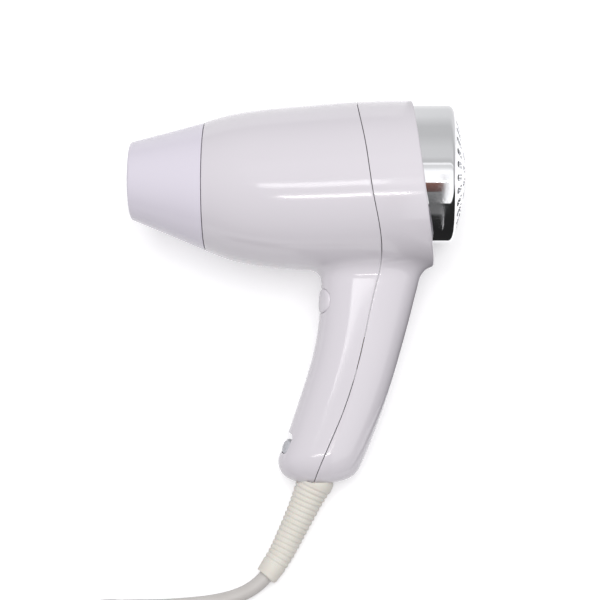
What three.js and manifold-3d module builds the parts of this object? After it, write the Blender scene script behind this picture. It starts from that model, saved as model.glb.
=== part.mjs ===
// A corded hair dryer lying on its side on a table, in millimetres, +Z up.
// The barrel runs along X with the nozzle towards -X, and the handle points towards -Y.
// The handset is modelled upright in its own group, with its plane of symmetry at z = 0, and that
// group is rolled about X until the barrel's side and the end of the handle both touch the table.

import * as THREE from 'three';
import { mergeVertices } from 'three/addons/utils/BufferGeometryUtils.js';
import Module from 'manifold-3d';

const wasm = await Module();
wasm.setup();

// ---- Driving dimensions -------------------------------------------------------------------

const GAP = 0.3; // between pieces that touch
const WALL = 2.2; // moulded housing wall
const ROLL = THREE.MathUtils.degToRad(11.3); // lean of the handset on the table
const LIFT = 41.83; // height of the barrel's axis above the table
const CENTRE_X = -0.6; // middle of the handset's length, moved to the origin
const CENTRE_Y = -76.4; // middle of the handset's height as it lies, moved to the origin

const AIR_Y = 2.5; // axis of the motor, the fan and the heater

// Nozzle: a cone whose axis drops slightly towards the barrel.
const NOZZLE = { tipX: -84.8, tipR: 19, tipY: 2.2, rootX: -47.3, rootR: 31.9, rootY: -0.7, wall: 2, edge: 1.6 };

// Barrel stations: x, height of the centre, radius.
const BARREL = [
  [-47, -0.7, 32.3],
  [-38, -1.1, 35.3],
  [-22, -1.6, 38.7],
  [-2, -1.7, 40.7],
  [28, -0.6, 41.8],
  [70, 0.4, 41],
];
const REAR_EDGE = { x: 61.4, lean: 7.4 }; // slanted plane that ends the barrel

// Handle stations: y, front x, rear x.
const HANDLE = [
  [-34, 10.9, 62.6],
  [-50, 10.6, 58.8],
  [-66, 9.6, 54.7],
  [-82, 7.1, 50.4],
  [-97, 3, 46.2],
  [-111, -1.6, 41.7],
  [-124, -6, 37],
  [-132.5, -9.4, 33.6],
  [-138.5, -10.9, 31],
  [-143.5, -9.2, 28.2],
  [-147, -5, 23],
  [-148.8, 1.5, 15],
];
const GRIP_HALF_WIDTH = 15.6;
const GRIP_SQUARENESS = 2.35; // 2 is an ellipse, more is squarer
const GRIP_END = { y: -133, depth: 17 }; // rounding of the handle's end

// Parting line between the front and the rear housing, from the top of the barrel down.
const SEAM = [
  [26.5, 52], [28.2, 40.8], [32.6, 19], [36.5, -6.5], [39.9, -24.5], [40.5, -36],
  [37.2, -52.4], [31.4, -78.9], [21.5, -112.9], [7, -148.2], [4.5, -156],
];

// Plated inlet cap.
const CAP = { y: 5.1, r: 34.3, wall: 1.5, rimX: 76.8, edge: 3.4, domeX: 82.4, skirt: 3.9 };
const SLOTS = [
  { count: 26, inner: 20.5, outer: 29, width: 3.4 },
  { count: 13, inner: 9, outer: 17, width: 3.4 },
];

// Blower and heater along the air axis.
const DUCT = { x0: 12, x1: 50, r: 34.8, wall: 1.6, hubR: 16.6, hubX1: 36, vanes: 5 };
const MOTOR = { x0: 11.3, x1: 37, r: 13.8, shaftR: 1.2, boreR: 1.5 };
const FAN = { x0: 40.5, x1: 49, hubR: 9, tipR: 31.6, blades: 9, pitch: 38 };
const HEATER = { x0: -38, x1: 4, tubeR: 26, boardHalf: 22, coilR: 19.6, coilWire: 1.3 };
const COIL_XS = [-29, -19.7, -10.3, -1];

// Controls on the front of the handle.
const TRIGGER = { y0: -63.8, y1: -52.2, half: 10.4, proud: 0.9 };
const SELECTOR = { x: -6.5, y: -128.7, slot: 10.5, knob: 6.6, half: 9, proud: 0.8 };
const SELECTOR_LEAN = THREE.MathUtils.degToRad(-19.6); // lean of the front of the handle there

// Lower handle screw, sunk in the rear housing.
const SCREW = { y: -125, headX: 28.3, headR: 2.6, shankR: 1.4, sinkR: 2.9, bossR: 4.4 };

// Strain relief axis in the handset's frame: x, y, z, radius.
const RELIEF = [
  [6.9, -149.1, 0, 9],
  [4.9, -154, 0, 8.4],
  [1.4, -161.8, 0.1, 7.6],
  [-5.4, -176, 0.9, 6.8],
  [-9.8, -184.7, 1.7, 6.4],
  [-13.4, -190.4, 2.4, 6],
  [-16, -194.2, 2.8, 5.7],
];

const RELIEF_SIDES = 14;

// Mains lead. Its free stretch and its tail lie on the table and its unseen length is in a coil.
const LEAD_R = 3.65;
const LEAD_Z = 3.8;
const COIL = { x: -92, y: -259, inner: 28.5, pitch: 7.6, turns: 6.5 };
const LEAD_ROUTE = [
  [-16.6, -191.6, 6.4], [-19.4, -194.6, 5.8], [-23.2, -197.6, 5.1], [-28.6, -200.6, 4.3],
  [-35.5, -203, 3.9], [-44.5, -204.9, LEAD_Z], [-56, -206.2, LEAD_Z], [-69, -207.1, LEAD_Z],
];
const TAIL_ROUTE = [
  [-72, -315.2, LEAD_Z], [-60, -315.2, 4.4], [-50, -315.2, 6.4], [-41, -315.2, 9], [-33.9, -315.2, 10.6],
];
const PLUG = { x: -32.5, y: -315.2, z: 11.2, length: 62, bodyX: 22, half: 18, thick: 22, pinR: 2.4, pin: 19 };

// ---- Finishes ----------------------------------------------------------------------------

const FINISH = {
  shell: { color: 0xe2dde4, roughness: 0.25, metalness: 0 },
  nozzle: { color: 0xdfdae8, roughness: 0.28, metalness: 0 },
  chrome: { color: 0xd9dadd, roughness: 0.06, metalness: 1 },
  greyKnob: { color: 0x9a9ca3, roughness: 0.4, metalness: 0 },
  cream: { color: 0xded9ca, roughness: 0.5, metalness: 0 },
  lead: { color: 0xcdc9c4, roughness: 0.45, metalness: 0 },
  mica: { color: 0xc9b68c, roughness: 0.6, metalness: 0 },
  wire: { color: 0x8b8680, roughness: 0.4, metalness: 1 },
  steel: { color: 0xb8babd, roughness: 0.3, metalness: 1 },
  brass: { color: 0xcbb06a, roughness: 0.3, metalness: 1 },
  black: { color: 0x2a2b2d, roughness: 0.5, metalness: 0 },
  board: { color: 0x3c6a45, roughness: 0.5, metalness: 0 },
  redLead: { color: 0xa8483c, roughness: 0.5, metalness: 0 },
  blueLead: { color: 0x46608f, roughness: 0.5, metalness: 0 },
  rubber: { color: 0x3a3a3a, roughness: 0.8, metalness: 0 },
};

// ---- Scene graph -------------------------------------------------------------------------

const dryer = new THREE.Group();
const origin = new THREE.Group();
origin.position.set(-CENTRE_X, -CENTRE_Y, 0);
const handset = new THREE.Group();
handset.rotation.x = ROLL;
handset.position.z = LIFT;
dryer.add(origin);
origin.add(handset);

// ---- Solid helpers -----------------------------------------------------------------------

function signedVolume(position, index) {
  const [a, b, c] = [new THREE.Vector3(), new THREE.Vector3(), new THREE.Vector3()];
  let volume = 0;
  for (let i = 0; i < index.count; i += 3) {
    a.fromBufferAttribute(position, index.getX(i));
    b.fromBufferAttribute(position, index.getX(i + 1));
    c.fromBufferAttribute(position, index.getX(i + 2));
    volume += a.dot(b.cross(c)) / 6;
  }
  return volume;
}

// A closed mesh as a solid, with its faces turned outwards.
function solidOf(geometry) {
  const bare = geometry.clone();
  bare.deleteAttribute('normal');
  bare.deleteAttribute('uv');
  const merged = mergeVertices(bare, 1e-3);
  const corners = Uint32Array.from(merged.index.array);
  if (signedVolume(merged.attributes.position, merged.index) < 0) corners.reverse();
  return new wasm.Manifold(new wasm.Mesh({
    numProp: 3,
    vertProperties: Float32Array.from(merged.attributes.position.array),
    triVerts: corners,
  }));
}

function geometryOf(solid) {
  const mesh = solid.getMesh();
  const geometry = new THREE.BufferGeometry();
  geometry.setAttribute('position', new THREE.BufferAttribute(mesh.vertProperties, 3));
  geometry.setIndex(new THREE.BufferAttribute(mesh.triVerts, 1));
  geometry.computeVertexNormals();
  return geometry;
}

function addPart(name, solid, finish, group = handset) {
  const mesh = new THREE.Mesh(geometryOf(solid), new THREE.MeshStandardMaterial(finish));
  mesh.name = name;
  group.add(mesh);
}

function box(x0, x1, y0, y1, z0, z1) {
  const shape = new THREE.BoxGeometry(x1 - x0, y1 - y0, z1 - z0);
  return solidOf(shape.translate((x0 + x1) / 2, (y0 + y1) / 2, (z0 + z1) / 2));
}

// A profile of [x, radius] corners turned about an axis parallel to X.
function turned(profile, y, z = 0, sides = 28) {
  const points = profile.map(([x, r]) => new THREE.Vector2(r, x));
  const shape = new THREE.LatheGeometry(points, sides);
  return solidOf(shape.rotateZ(-Math.PI / 2).translate(0, y, z));
}

function rod(x0, x1, r, y, z = 0, sides = 16) {
  return turned([[x0, 0], [x0, r], [x1, r], [x1, 0]], y, z, sides);
}

function sleeve(x0, x1, inner, outer, y, z = 0, sides = 28) {
  return turned([[x0, inner], [x0, outer], [x1, outer], [x1, inner], [x0, inner]], y, z, sides);
}

// Skins rings of equally many points, and closes both ends with a fan.
function loft(rings) {
  const count = rings[0].length;
  const points = rings.flat();
  const corners = [];
  for (let ring = 0; ring + 1 < rings.length; ring += 1) {
    for (let i = 0; i < count; i += 1) {
      const a = ring * count + i;
      const b = ring * count + (i + 1) % count;
      corners.push(a, b, a + count, b, b + count, a + count);
    }
  }
  [0, rings.length - 1].forEach((ring, end) => {
    const middle = new THREE.Vector3();
    rings[ring].forEach((point) => middle.addScaledVector(point, 1 / count));
    points.push(middle);
    for (let i = 0; i < count; i += 1) {
      const pair = [ring * count + i, ring * count + (i + 1) % count];
      if (end === 0) pair.reverse();
      corners.push(points.length - 1, ...pair);
    }
  });
  const geometry = new THREE.BufferGeometry().setFromPoints(points);
  geometry.setIndex(corners);
  return solidOf(geometry);
}

function circleRing(x, centreY, radius, sides) {
  return Array.from({ length: sides }, (_, i) => {
    const angle = (i / sides) * 2 * Math.PI;
    return new THREE.Vector3(x, centreY + radius * Math.cos(angle), radius * Math.sin(angle));
  });
}

function smooth(stations, steps) {
  return new THREE.CatmullRomCurve3(stations.map((row) => new THREE.Vector3(...row))).getPoints(steps);
}

// Everything on the +x side of a plane that leans about Z.
function beyond(x, leanDegrees) {
  const half = new THREE.BoxGeometry(300, 400, 300).translate(150, 0, 0);
  return solidOf(half.rotateZ(THREE.MathUtils.degToRad(leanDegrees)).translate(x, 0, 0));
}

// A round tube swept along a smooth route.
function tube(route, radius, sides, steps) {
  const section = new THREE.Shape();
  for (let i = 0; i < sides; i += 1) {
    const angle = (i / sides) * 2 * Math.PI;
    const corner = [radius * Math.cos(angle), radius * Math.sin(angle)];
    if (i === 0) section.moveTo(...corner);
    else section.lineTo(...corner);
  }
  const path = new THREE.CatmullRomCurve3(route.map((point) => new THREE.Vector3(...point)));
  return solidOf(new THREE.ExtrudeGeometry(section, { steps, extrudePath: path }));
}

// ---- Outer form of the barrel and the handle ----------------------------------------------

function barrelForm(inset, endX, sides = 28) {
  const stations = smooth(BARREL, 8).filter((station) => station.x < endX);
  const rings = stations.map((s) => circleRing(s.x, s.y, s.z - inset, sides));
  const last = stations[stations.length - 1];
  rings.push(circleRing(endX, last.y, last.z - inset, sides));
  if (inset > 0) rings.unshift(circleRing(BARREL[0][0] - 5, BARREL[0][1], BARREL[0][2] - inset, sides));
  return loft(rings);
}

function gripRing(y, front, rear, halfWidth, sides) {
  const middle = (front + rear) / 2;
  const power = 2 / GRIP_SQUARENESS;
  return Array.from({ length: sides }, (_, i) => {
    const angle = (i / sides) * 2 * Math.PI;
    const [c, s] = [Math.cos(angle), Math.sin(angle)];
    const x = middle + Math.sign(c) * Math.abs(c) ** power * (rear - front) / 2;
    return new THREE.Vector3(x, y, Math.sign(s) * Math.abs(s) ** power * halfWidth);
  });
}

function gripHalfWidth(y) {
  const into = Math.max(0, GRIP_END.y - y) / GRIP_END.depth;
  return GRIP_HALF_WIDTH * Math.sqrt(1 - into ** 2);
}

function handleForm(inset, sides = 24) {
  const floor = HANDLE[HANDLE.length - 1][0] + inset;
  const stations = smooth(HANDLE, 13).filter((s) => inset === 0 || s.x > floor + 0.5);
  const rings = stations.map((s) => gripRing(
    s.x, s.y + inset, s.z - inset, gripHalfWidth(s.x) - inset, sides));
  return loft(rings);
}

function frontOfSeam(shift) {
  const shape = new THREE.Shape();
  const line = new THREE.SplineCurve(SEAM.map(([x, y]) => new THREE.Vector2(x, y))).getPoints(26);
  shape.moveTo(-120, 52);
  line.forEach((point) => shape.lineTo(point.x + shift, point.y));
  shape.lineTo(-120, -156);
  const slab = new THREE.ExtrudeGeometry(shape, { depth: 120, bevelEnabled: false });
  return solidOf(slab.translate(0, 0, -60));
}

// ---- Housings ----------------------------------------------------------------------------

const barrelOuter = barrelForm(0, 69).subtract(beyond(REAR_EDGE.x, REAR_EDGE.lean));
const barrelInner = barrelForm(WALL, 66).subtract(beyond(REAR_EDGE.x - WALL, REAR_EDGE.lean));
const handleOuter = handleForm(0);
const handleInner = handleForm(WALL);
const formOuter = barrelOuter.add(handleOuter);
const frontHole = box(0, 20, TRIGGER.y0 - GAP, TRIGGER.y1 + GAP, -TRIGGER.half - GAP, TRIGGER.half + GAP);
const reliefHole = rod(-4, 4, 5.9, 0, 0, 16).rotate([0, 0, 90]).translate([7.2, -147.6, 0]);

// A block in the selector's own directions: along the grip, and depth under its front face.
function selectorBlock(along0, along1, depth0, depth1, half) {
  const block = new THREE.BoxGeometry(depth1 - depth0, along1 - along0, 2 * half);
  block.translate((depth0 + depth1) / 2, (along0 + along1) / 2, 0);
  block.rotateZ(SELECTOR_LEAN).translate(SELECTOR.x, SELECTOR.y, 0);
  return solidOf(block);
}

const selectorHole = selectorBlock(-SELECTOR.slot / 2, SELECTOR.slot / 2, -6, 7, SELECTOR.half + GAP);
const shell = formOuter
  .subtract(barrelInner)
  .subtract(handleInner)
  .subtract(rod(50, 80, CAP.r + GAP + 0.2, CAP.y, 0, 32))
  .subtract(frontHole)
  .subtract(selectorHole)
  .subtract(reliefHole);

const screwPost = box(12.8, 15, SCREW.y - 4, SCREW.y + 4, -16, 16)
  .add(rod(14, 25.6, 3.8, SCREW.y, 0, 14))
  .intersect(handleOuter)
  .subtract(rod(12, 26, SCREW.shankR + GAP, SCREW.y, 0, 12));
const frontHousing = shell.intersect(frontOfSeam(0)).add(screwPost);

const screwBoss = rod(26, 39, SCREW.bossR, SCREW.y, 0, 16).intersect(handleOuter);
const rearHousing = shell.subtract(frontOfSeam(GAP))
  .add(screwBoss)
  .subtract(rod(28, 45, SCREW.sinkR, SCREW.y, 0, 16))
  .subtract(rod(20, 30, SCREW.shankR + GAP, SCREW.y, 0, 12));

addPart('front_housing', frontHousing, FINISH.shell);
addPart('rear_housing', rearHousing, FINISH.shell);

// ---- Nozzle and outlet grille ------------------------------------------------------------

function nozzleRadius(x) {
  const share = (x - NOZZLE.tipX) / (NOZZLE.rootX - NOZZLE.tipX);
  return THREE.MathUtils.lerp(NOZZLE.tipR, NOZZLE.rootR, share);
}

function nozzleCentre(x) {
  const share = (x - NOZZLE.tipX) / (NOZZLE.rootX - NOZZLE.tipX);
  return THREE.MathUtils.lerp(NOZZLE.tipY, NOZZLE.rootY, share);
}

function nozzleForm(inset, x0, x1) {
  return loft([x0, x1].map((x) => circleRing(x, nozzleCentre(x), nozzleRadius(x) - inset, 30)));
}

const tipRing = circleRing(NOZZLE.tipX, NOZZLE.tipY, NOZZLE.tipR - 1.1, 30);
const lipX = NOZZLE.tipX + NOZZLE.edge;
const nozzleOuter = loft([
  tipRing,
  circleRing(lipX, nozzleCentre(lipX), nozzleRadius(lipX), 30),
  circleRing(NOZZLE.rootX, NOZZLE.rootY, NOZZLE.rootR, 30),
]);
const snapCollar = rod(NOZZLE.rootX - 1, -41, 29.5, NOZZLE.rootY, 0, 30);
const nozzle = nozzleOuter
  .add(snapCollar)
  .subtract(nozzleForm(NOZZLE.wall + 1.2, NOZZLE.tipX - 3, -52))
  .subtract(rod(-52.5, -40, 27.7, NOZZLE.rootY, 0, 30));
addPart('nozzle', nozzle, FINISH.nozzle);

const GRILLE_X = -64;
const grilleY = nozzleCentre(GRILLE_X);
const grilleR = nozzleRadius(GRILLE_X) - NOZZLE.wall - 1.9;
let outletGrille = sleeve(GRILLE_X, GRILLE_X + 2, grilleR - 1.8, grilleR, grilleY, 0, 24)
  .add(sleeve(GRILLE_X, GRILLE_X + 2, 10, 11.4, grilleY, 0, 18));
for (const side of [0, 45, 90, 135]) {
  const bar = box(GRILLE_X + 0.2, GRILLE_X + 1.8, -grilleR + 1, grilleR - 1, -0.7, 0.7);
  outletGrille = outletGrille.add(bar.rotate([side, 0, 0]).translate([0, grilleY, 0]));
}
addPart('outlet_grille', outletGrille, FINISH.black);

// ---- Plated inlet cap and its filter screen ----------------------------------------------

function capProfile(inset) {
  const r = CAP.r - inset;
  const corner = CAP.edge - inset;
  const points = [[46, 0], [46, r], [CAP.rimX - CAP.edge, r]];
  for (const angle of [30, 60, 90]) {
    const turn = THREE.MathUtils.degToRad(angle);
    const x = CAP.rimX - CAP.edge + corner * Math.sin(turn);
    points.push([x, r - corner + corner * Math.cos(turn)]);
  }
  const rimR = CAP.r - CAP.edge;
  for (const share of [0.75, 0.35]) {
    const rise = (CAP.domeX - CAP.rimX) * (1 - share ** 2);
    points.push([CAP.rimX - inset + rise, rimR * share]);
  }
  points.push([CAP.domeX - inset, 0]);
  return points;
}

let inletCap = turned(capProfile(0), CAP.y, 0, 32)
  .subtract(turned(capProfile(CAP.wall), CAP.y, 0, 32))
  .intersect(beyond(REAR_EDGE.x - CAP.skirt, REAR_EDGE.lean));
for (const ring of SLOTS) {
  for (let i = 0; i < ring.count; i += 1) {
    const cutter = box(70, 90, ring.inner, ring.outer, -ring.width / 2, ring.width / 2);
    inletCap = inletCap.subtract(cutter.rotate([(360 * i) / ring.count, 0, 0]).translate([0, CAP.y, 0]));
  }
}
addPart('inlet_cap', inletCap, FINISH.chrome);
addPart('inlet_filter', rod(71, 71.8, CAP.r - CAP.wall - 0.5, CAP.y, 0, 28), FINISH.black);

// ---- Blower ------------------------------------------------------------------------------

let duct = sleeve(DUCT.x0, DUCT.x1, DUCT.r - DUCT.wall, DUCT.r, AIR_Y, 0, 32)
  .add(sleeve(DUCT.x0, DUCT.hubX1, DUCT.hubR - 1.4, DUCT.hubR, AIR_Y, 0, 24));
for (let i = 0; i < DUCT.vanes; i += 1) {
  const vane = box(16, 32, DUCT.hubR - 0.7, DUCT.r - 0.8, -0.8, 0.8);
  duct = duct.add(vane.rotate([36 + (360 * i) / DUCT.vanes, 0, 0]).translate([0, AIR_Y, 0]));
}
addPart('fan_duct', duct, FINISH.black);

addPart('motor_mount_ring', sleeve(15, 23, MOTOR.r + GAP, DUCT.hubR - 1.4 - GAP, AIR_Y), FINISH.rubber);
addPart('motor_can', turned([
  [MOTOR.x0, MOTOR.r - 1.2], [MOTOR.x0, MOTOR.r], [MOTOR.x1, MOTOR.r], [MOTOR.x1, MOTOR.boreR],
  [MOTOR.x1 - 1.5, MOTOR.boreR], [MOTOR.x1 - 1.5, MOTOR.r - 1.2], [MOTOR.x0, MOTOR.r - 1.2],
], AIR_Y), FINISH.steel);
addPart('motor_end_cap', sleeve(8.6, MOTOR.x0 - GAP, MOTOR.boreR, MOTOR.r, AIR_Y), FINISH.black);
addPart('armature', sleeve(16, 31, MOTOR.boreR, 10.4, AIR_Y, 0, 20), FINISH.steel);
addPart('motor_shaft', rod(9.5, FAN.x1 - 0.6, MOTOR.shaftR, AIR_Y, 0, 12), FINISH.steel);

let impeller = sleeve(FAN.x0, FAN.x1, MOTOR.boreR, FAN.hubR, AIR_Y, 0, 20);
for (let i = 0; i < FAN.blades; i += 1) {
  const middle = (FAN.x0 + FAN.x1) / 2;
  const blade = box(-4.8, 4.8, FAN.hubR - 1.5, FAN.tipR, -0.7, 0.7).rotate([0, FAN.pitch, 0]);
  const turn = (360 * i) / FAN.blades;
  impeller = impeller.add(blade.translate([middle, 0, 0]).rotate([turn, 0, 0]).translate([0, AIR_Y, 0]));
}
addPart('impeller', impeller, FINISH.black);

addPart('rectifier_board', rod(3, 4.4, 11, AIR_Y, 0, 20), FINISH.board);
for (let i = 0; i < 4; i += 1) {
  const y = AIR_Y + (i < 2 ? 4.5 : -4.5);
  const z = i % 2 ? 4.5 : -4.5;
  addPart(`diode_${i + 1}`, rod(4.7, 8.3, 1.6, y, z, 8), FINISH.black);
}

// ---- Heater ------------------------------------------------------------------------------

addPart('mica_tube', sleeve(HEATER.x0, HEATER.x1, HEATER.tubeR - 0.6, HEATER.tubeR, AIR_Y, 0, 32), FINISH.mica);

function boardBlank(x0, x1) {
  let board = box(x0, x1, -HEATER.boardHalf, HEATER.boardHalf, -0.4, 0.4);
  for (const x of COIL_XS) {
    for (const side of [1, -1]) {
      const [inner, outer] = [HEATER.coilR - 2, HEATER.boardHalf + 1];
      const notch = side > 0 ? [inner, outer] : [-outer, -inner];
      board = board.subtract(box(x - 1.8, x + 1.8, ...notch, -1, 1));
    }
  }
  return board;
}

const boardMiddle = (HEATER.x0 + HEATER.x1) / 2;
const boardA = boardBlank(-35, 1.5).subtract(box(boardMiddle, 5, -0.7, 0.7, -1, 1));
const boardB = boardBlank(-35, 1.5).subtract(box(-40, boardMiddle + GAP, -0.7, 0.7, -1, 1));
addPart('mica_board_a', boardA.translate([0, AIR_Y, 0]), FINISH.mica);
addPart('mica_board_b', boardB.rotate([90, 0, 0]).translate([0, AIR_Y, 0]), FINISH.mica);

COIL_XS.forEach((x, i) => {
  const ring = [];
  for (let corner = 0; corner <= 6; corner += 1) {
    const angle = (corner / 6) * 2 * Math.PI;
    ring.push([x + HEATER.coilWire * Math.cos(angle), HEATER.coilR + HEATER.coilWire * Math.sin(angle)]);
  }
  addPart(`heating_coil_${i + 1}`, turned(ring, AIR_Y, 0, 16), FINISH.wire);
});
addPart('thermostat', box(-33, -24, AIR_Y + 0.7, AIR_Y + 4.2, 4, 12), FINISH.steel);
addPart('thermal_fuse', rod(-15, -4, 1.5, AIR_Y - 2.2, -8, 10), FINISH.brass);

// ---- Trigger -----------------------------------------------------------------------------

const triggerFace = handleOuter.translate([-TRIGGER.proud, 0, 0])
  .intersect(box(5, 17.7, TRIGGER.y0, TRIGGER.y1, -TRIGGER.half, TRIGGER.half));
const triggerFlange = box(17.6, 19, TRIGGER.y0 - 2.2, TRIGGER.y1 + 2.2, -8, 8);
addPart('trigger_button', triggerFace.add(triggerFlange), FINISH.shell);
addPart('trigger_spring', sleeve(19.3, 24, 2.1, 3, -58, 0, 12), FINISH.steel);
addPart('micro_switch', box(24.3, 33, -66, -50, -5, 5), FINISH.black);

// ---- Selector ----------------------------------------------------------------------------

const knobEnd = -SELECTOR.slot / 2 + GAP;
const knobShift = [-SELECTOR.proud * Math.cos(SELECTOR_LEAN), -SELECTOR.proud * Math.sin(SELECTOR_LEAN), 0];
const knobFace = handleOuter.translate(knobShift)
  .intersect(selectorBlock(knobEnd, knobEnd + SELECTOR.knob, -6, 6.6, SELECTOR.half));
const knobFlange = selectorBlock(knobEnd - 1.6, knobEnd + SELECTOR.knob + 1.6, 6.5, 7.5, 8.4);
addPart('selector_knob', knobFace.add(knobFlange), FINISH.greyKnob);
addPart('slide_switch', selectorBlock(-7, 7, 7.9, 12.4, 7), FINISH.black);

// ---- Handle fittings ---------------------------------------------------------------------

function screw(headX, tipX, headR, shankR, y, z) {
  return turned([
    [tipX, 0], [tipX + 1, shankR], [headX, shankR], [headX, headR],
    [headX + 1.1, headR], [headX + 1.8, headR * 0.55], [headX + 1.8, 0],
  ], y, z, 10);
}

addPart('handle_screw', screw(SCREW.headX, 16, SCREW.headR, SCREW.shankR, SCREW.y, 0), FINISH.steel);

const clampScrewZs = [-8.5, 8.5];
let cordClamp = box(15.6, 18, -139, -133, -11.2, 11.2);
for (const z of clampScrewZs) cordClamp = cordClamp.subtract(rod(10, 20, 1.7, -136, z, 12));
addPart('cord_clamp', cordClamp, FINISH.cream);
clampScrewZs.forEach((z, i) => {
  addPart(`clamp_screw_${i + 1}`, screw(18.3, 9.5, 2.6, 1.4, -136, z), FINISH.steel);
});
addPart('terminal_block', box(20, 30, -112, -98, -6, 6), FINISH.cream);
addPart('suppression_capacitor', box(24, 40, -92, -76, -3.5, 3.5), FINISH.brass);

addPart('cord_inner', tube([[8.6, -140.6, 0], [9.6, -138, 0], [11, -135, 0], [12, -131.8, 0]], LEAD_R, 10, 5),
  FINISH.lead);
addPart('lead_live', tube([
  [11, -130, 2], [10.8, -124, 3.5], [12, -116, 6], [15.5, -106, 9], [20, -90, 9.5],
  [26, -75, 8.5], [29, -67, 7.4],
], 0.9, 6, 14), FINISH.redLead);
addPart('lead_neutral', tube([
  [11.4, -130, -2], [11, -124, -3.5], [12.6, -116, -8], [17, -104, -10], [24, -85, -10], [30, -65, -10],
  [29, -48, -9], [20, -39, -7], [11, -36.5, -6], [8, -33, -6], [8, -24, -6], [7.6, -15, -5],
], 0.9, 6, 24), FINISH.blueLead);
addPart('lead_heater', tube([
  [29, -49.5, 4], [26, -44, 5], [18, -39.5, 6], [11, -36.8, 6], [8, -33, 6], [8, -24, 6], [7.6, -15, 5],
], 0.9, 6, 14), FINISH.redLead);

// ---- Strain relief -----------------------------------------------------------------------

function tiltedRing(centre, direction, radius, sides) {
  const across = new THREE.Vector3(0, 0, 1);
  const side = new THREE.Vector3().crossVectors(across, direction).normalize();
  const up = new THREE.Vector3().crossVectors(direction, side);
  return Array.from({ length: sides }, (_, i) => {
    const angle = (i / sides) * 2 * Math.PI;
    return centre.clone()
      .addScaledVector(side, radius * Math.cos(angle))
      .addScaledVector(up, radius * Math.sin(angle));
  });
}

const straightDown = new THREE.Vector3(0, -1, 0);
const reliefAxis = new THREE.CatmullRomCurve3(RELIEF.map(([x, y, z]) => new THREE.Vector3(x, y, z)));
const reliefRings = [[7.8, -142.4, 6.8], [7.7, -144.3, 6.8], [7.6, -144.4, 5.5], [7, -149, 5.5]]
  .map(([x, y, r]) => tiltedRing(new THREE.Vector3(x, y, 0), straightDown, r, RELIEF_SIDES));
RELIEF.forEach(([x, y, z, r], i) => {
  const turn = Math.min(1, i / 2);
  const tangent = reliefAxis.getTangent(i / (RELIEF.length - 1));
  const direction = straightDown.clone().lerp(tangent, turn).normalize();
  reliefRings.push(tiltedRing(new THREE.Vector3(x, y, z), direction, r, RELIEF_SIDES));
});
addPart('strain_relief', loft(reliefRings), FINISH.cream);

// ---- Mains lead, coil and plug, on the table -----------------------------------------------

addPart('mains_lead', tube(LEAD_ROUTE, LEAD_R, 10, 20), FINISH.lead, origin);

const coilOuter = COIL.inner + COIL.pitch * (COIL.turns / 2) + LEAD_R;
const coilInner = COIL.inner - LEAD_R;
const coilTop = LEAD_Z + 2 * COIL.pitch - LEAD_R + 0.2;
const coilRing = new THREE.LatheGeometry([
  [coilInner, 0.1], [coilOuter - 3.8, 0.1], [coilOuter - 3.8, coilTop], [coilInner, coilTop], [coilInner, 0.1],
].map(([r, z]) => new THREE.Vector2(r, z)), 32);
coilRing.rotateX(Math.PI / 2).translate(COIL.x, COIL.y, 0);
addPart('lead_coil', solidOf(coilRing), FINISH.lead, origin);

addPart('lead_tail', tube(TAIL_ROUTE, LEAD_R, 10, 8), FINISH.lead, origin);

// A 2-pin plug lying flat, its two pins side by side along +X.
const plugStart = PLUG.x;
const plugEnd = PLUG.x + PLUG.length;
function plugRing(x, half, thick) {
  return Array.from({ length: 20 }, (_, i) => {
    const angle = (i / 20) * 2 * Math.PI;
    const [c, s] = [Math.cos(angle), Math.sin(angle)];
    const y = Math.sign(c) * Math.abs(c) ** 0.7 * half;
    return new THREE.Vector3(x, PLUG.y + y, PLUG.z + Math.sign(s) * Math.abs(s) ** 0.7 * thick / 2);
  });
}
addPart('plug_body', loft([
  plugRing(plugStart, 4.6, 9.2),
  plugRing(plugStart + PLUG.bodyX - 4, 6.5, 13),
  plugRing(plugStart + PLUG.bodyX + 5, 13, 19),
  plugRing(plugStart + PLUG.bodyX + 18, PLUG.half - 1, PLUG.thick),
  plugRing(plugEnd - 3, PLUG.half, PLUG.thick),
  plugRing(plugEnd, PLUG.half - 1, PLUG.thick - 2),
]), FINISH.lead, origin);
[-9.5, 9.5].forEach((offset, i) => {
  const pin = turned([
    [plugEnd + GAP, 0], [plugEnd + GAP, PLUG.pinR], [plugEnd + PLUG.pin - 1.5, PLUG.pinR], [plugEnd + PLUG.pin, 0.9],
    [plugEnd + PLUG.pin, 0],
  ], PLUG.y + offset, PLUG.z, 12);
  addPart(`plug_pin_${i + 1}`, pin, FINISH.brass, origin);
});

// Tie round one side of the coil.
const tieX = COIL.x - (coilInner + coilOuter - 3.8) / 2;
const tieHalf = (coilOuter - 3.8 - coilInner) / 2;
const tieOuter = box(-tieHalf - 1.8, tieHalf + 1.8, -4, 4, 0.1, coilTop + 1.6);
const tieInner = box(-tieHalf - 0.9, tieHalf + 0.9, -5, 5, -0.8, coilTop + 0.6);
addPart('coil_tie', tieOuter.subtract(tieInner).translate([tieX, COIL.y, 0]), FINISH.black, origin);

export default dryer;
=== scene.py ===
"""A corded hair dryer lying on its side on a pale table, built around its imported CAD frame."""
import math

import bmesh
import bpy
import numpy as np
from mathutils import Matrix, Vector
from mathutils.bvhtree import BVHTree


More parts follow.
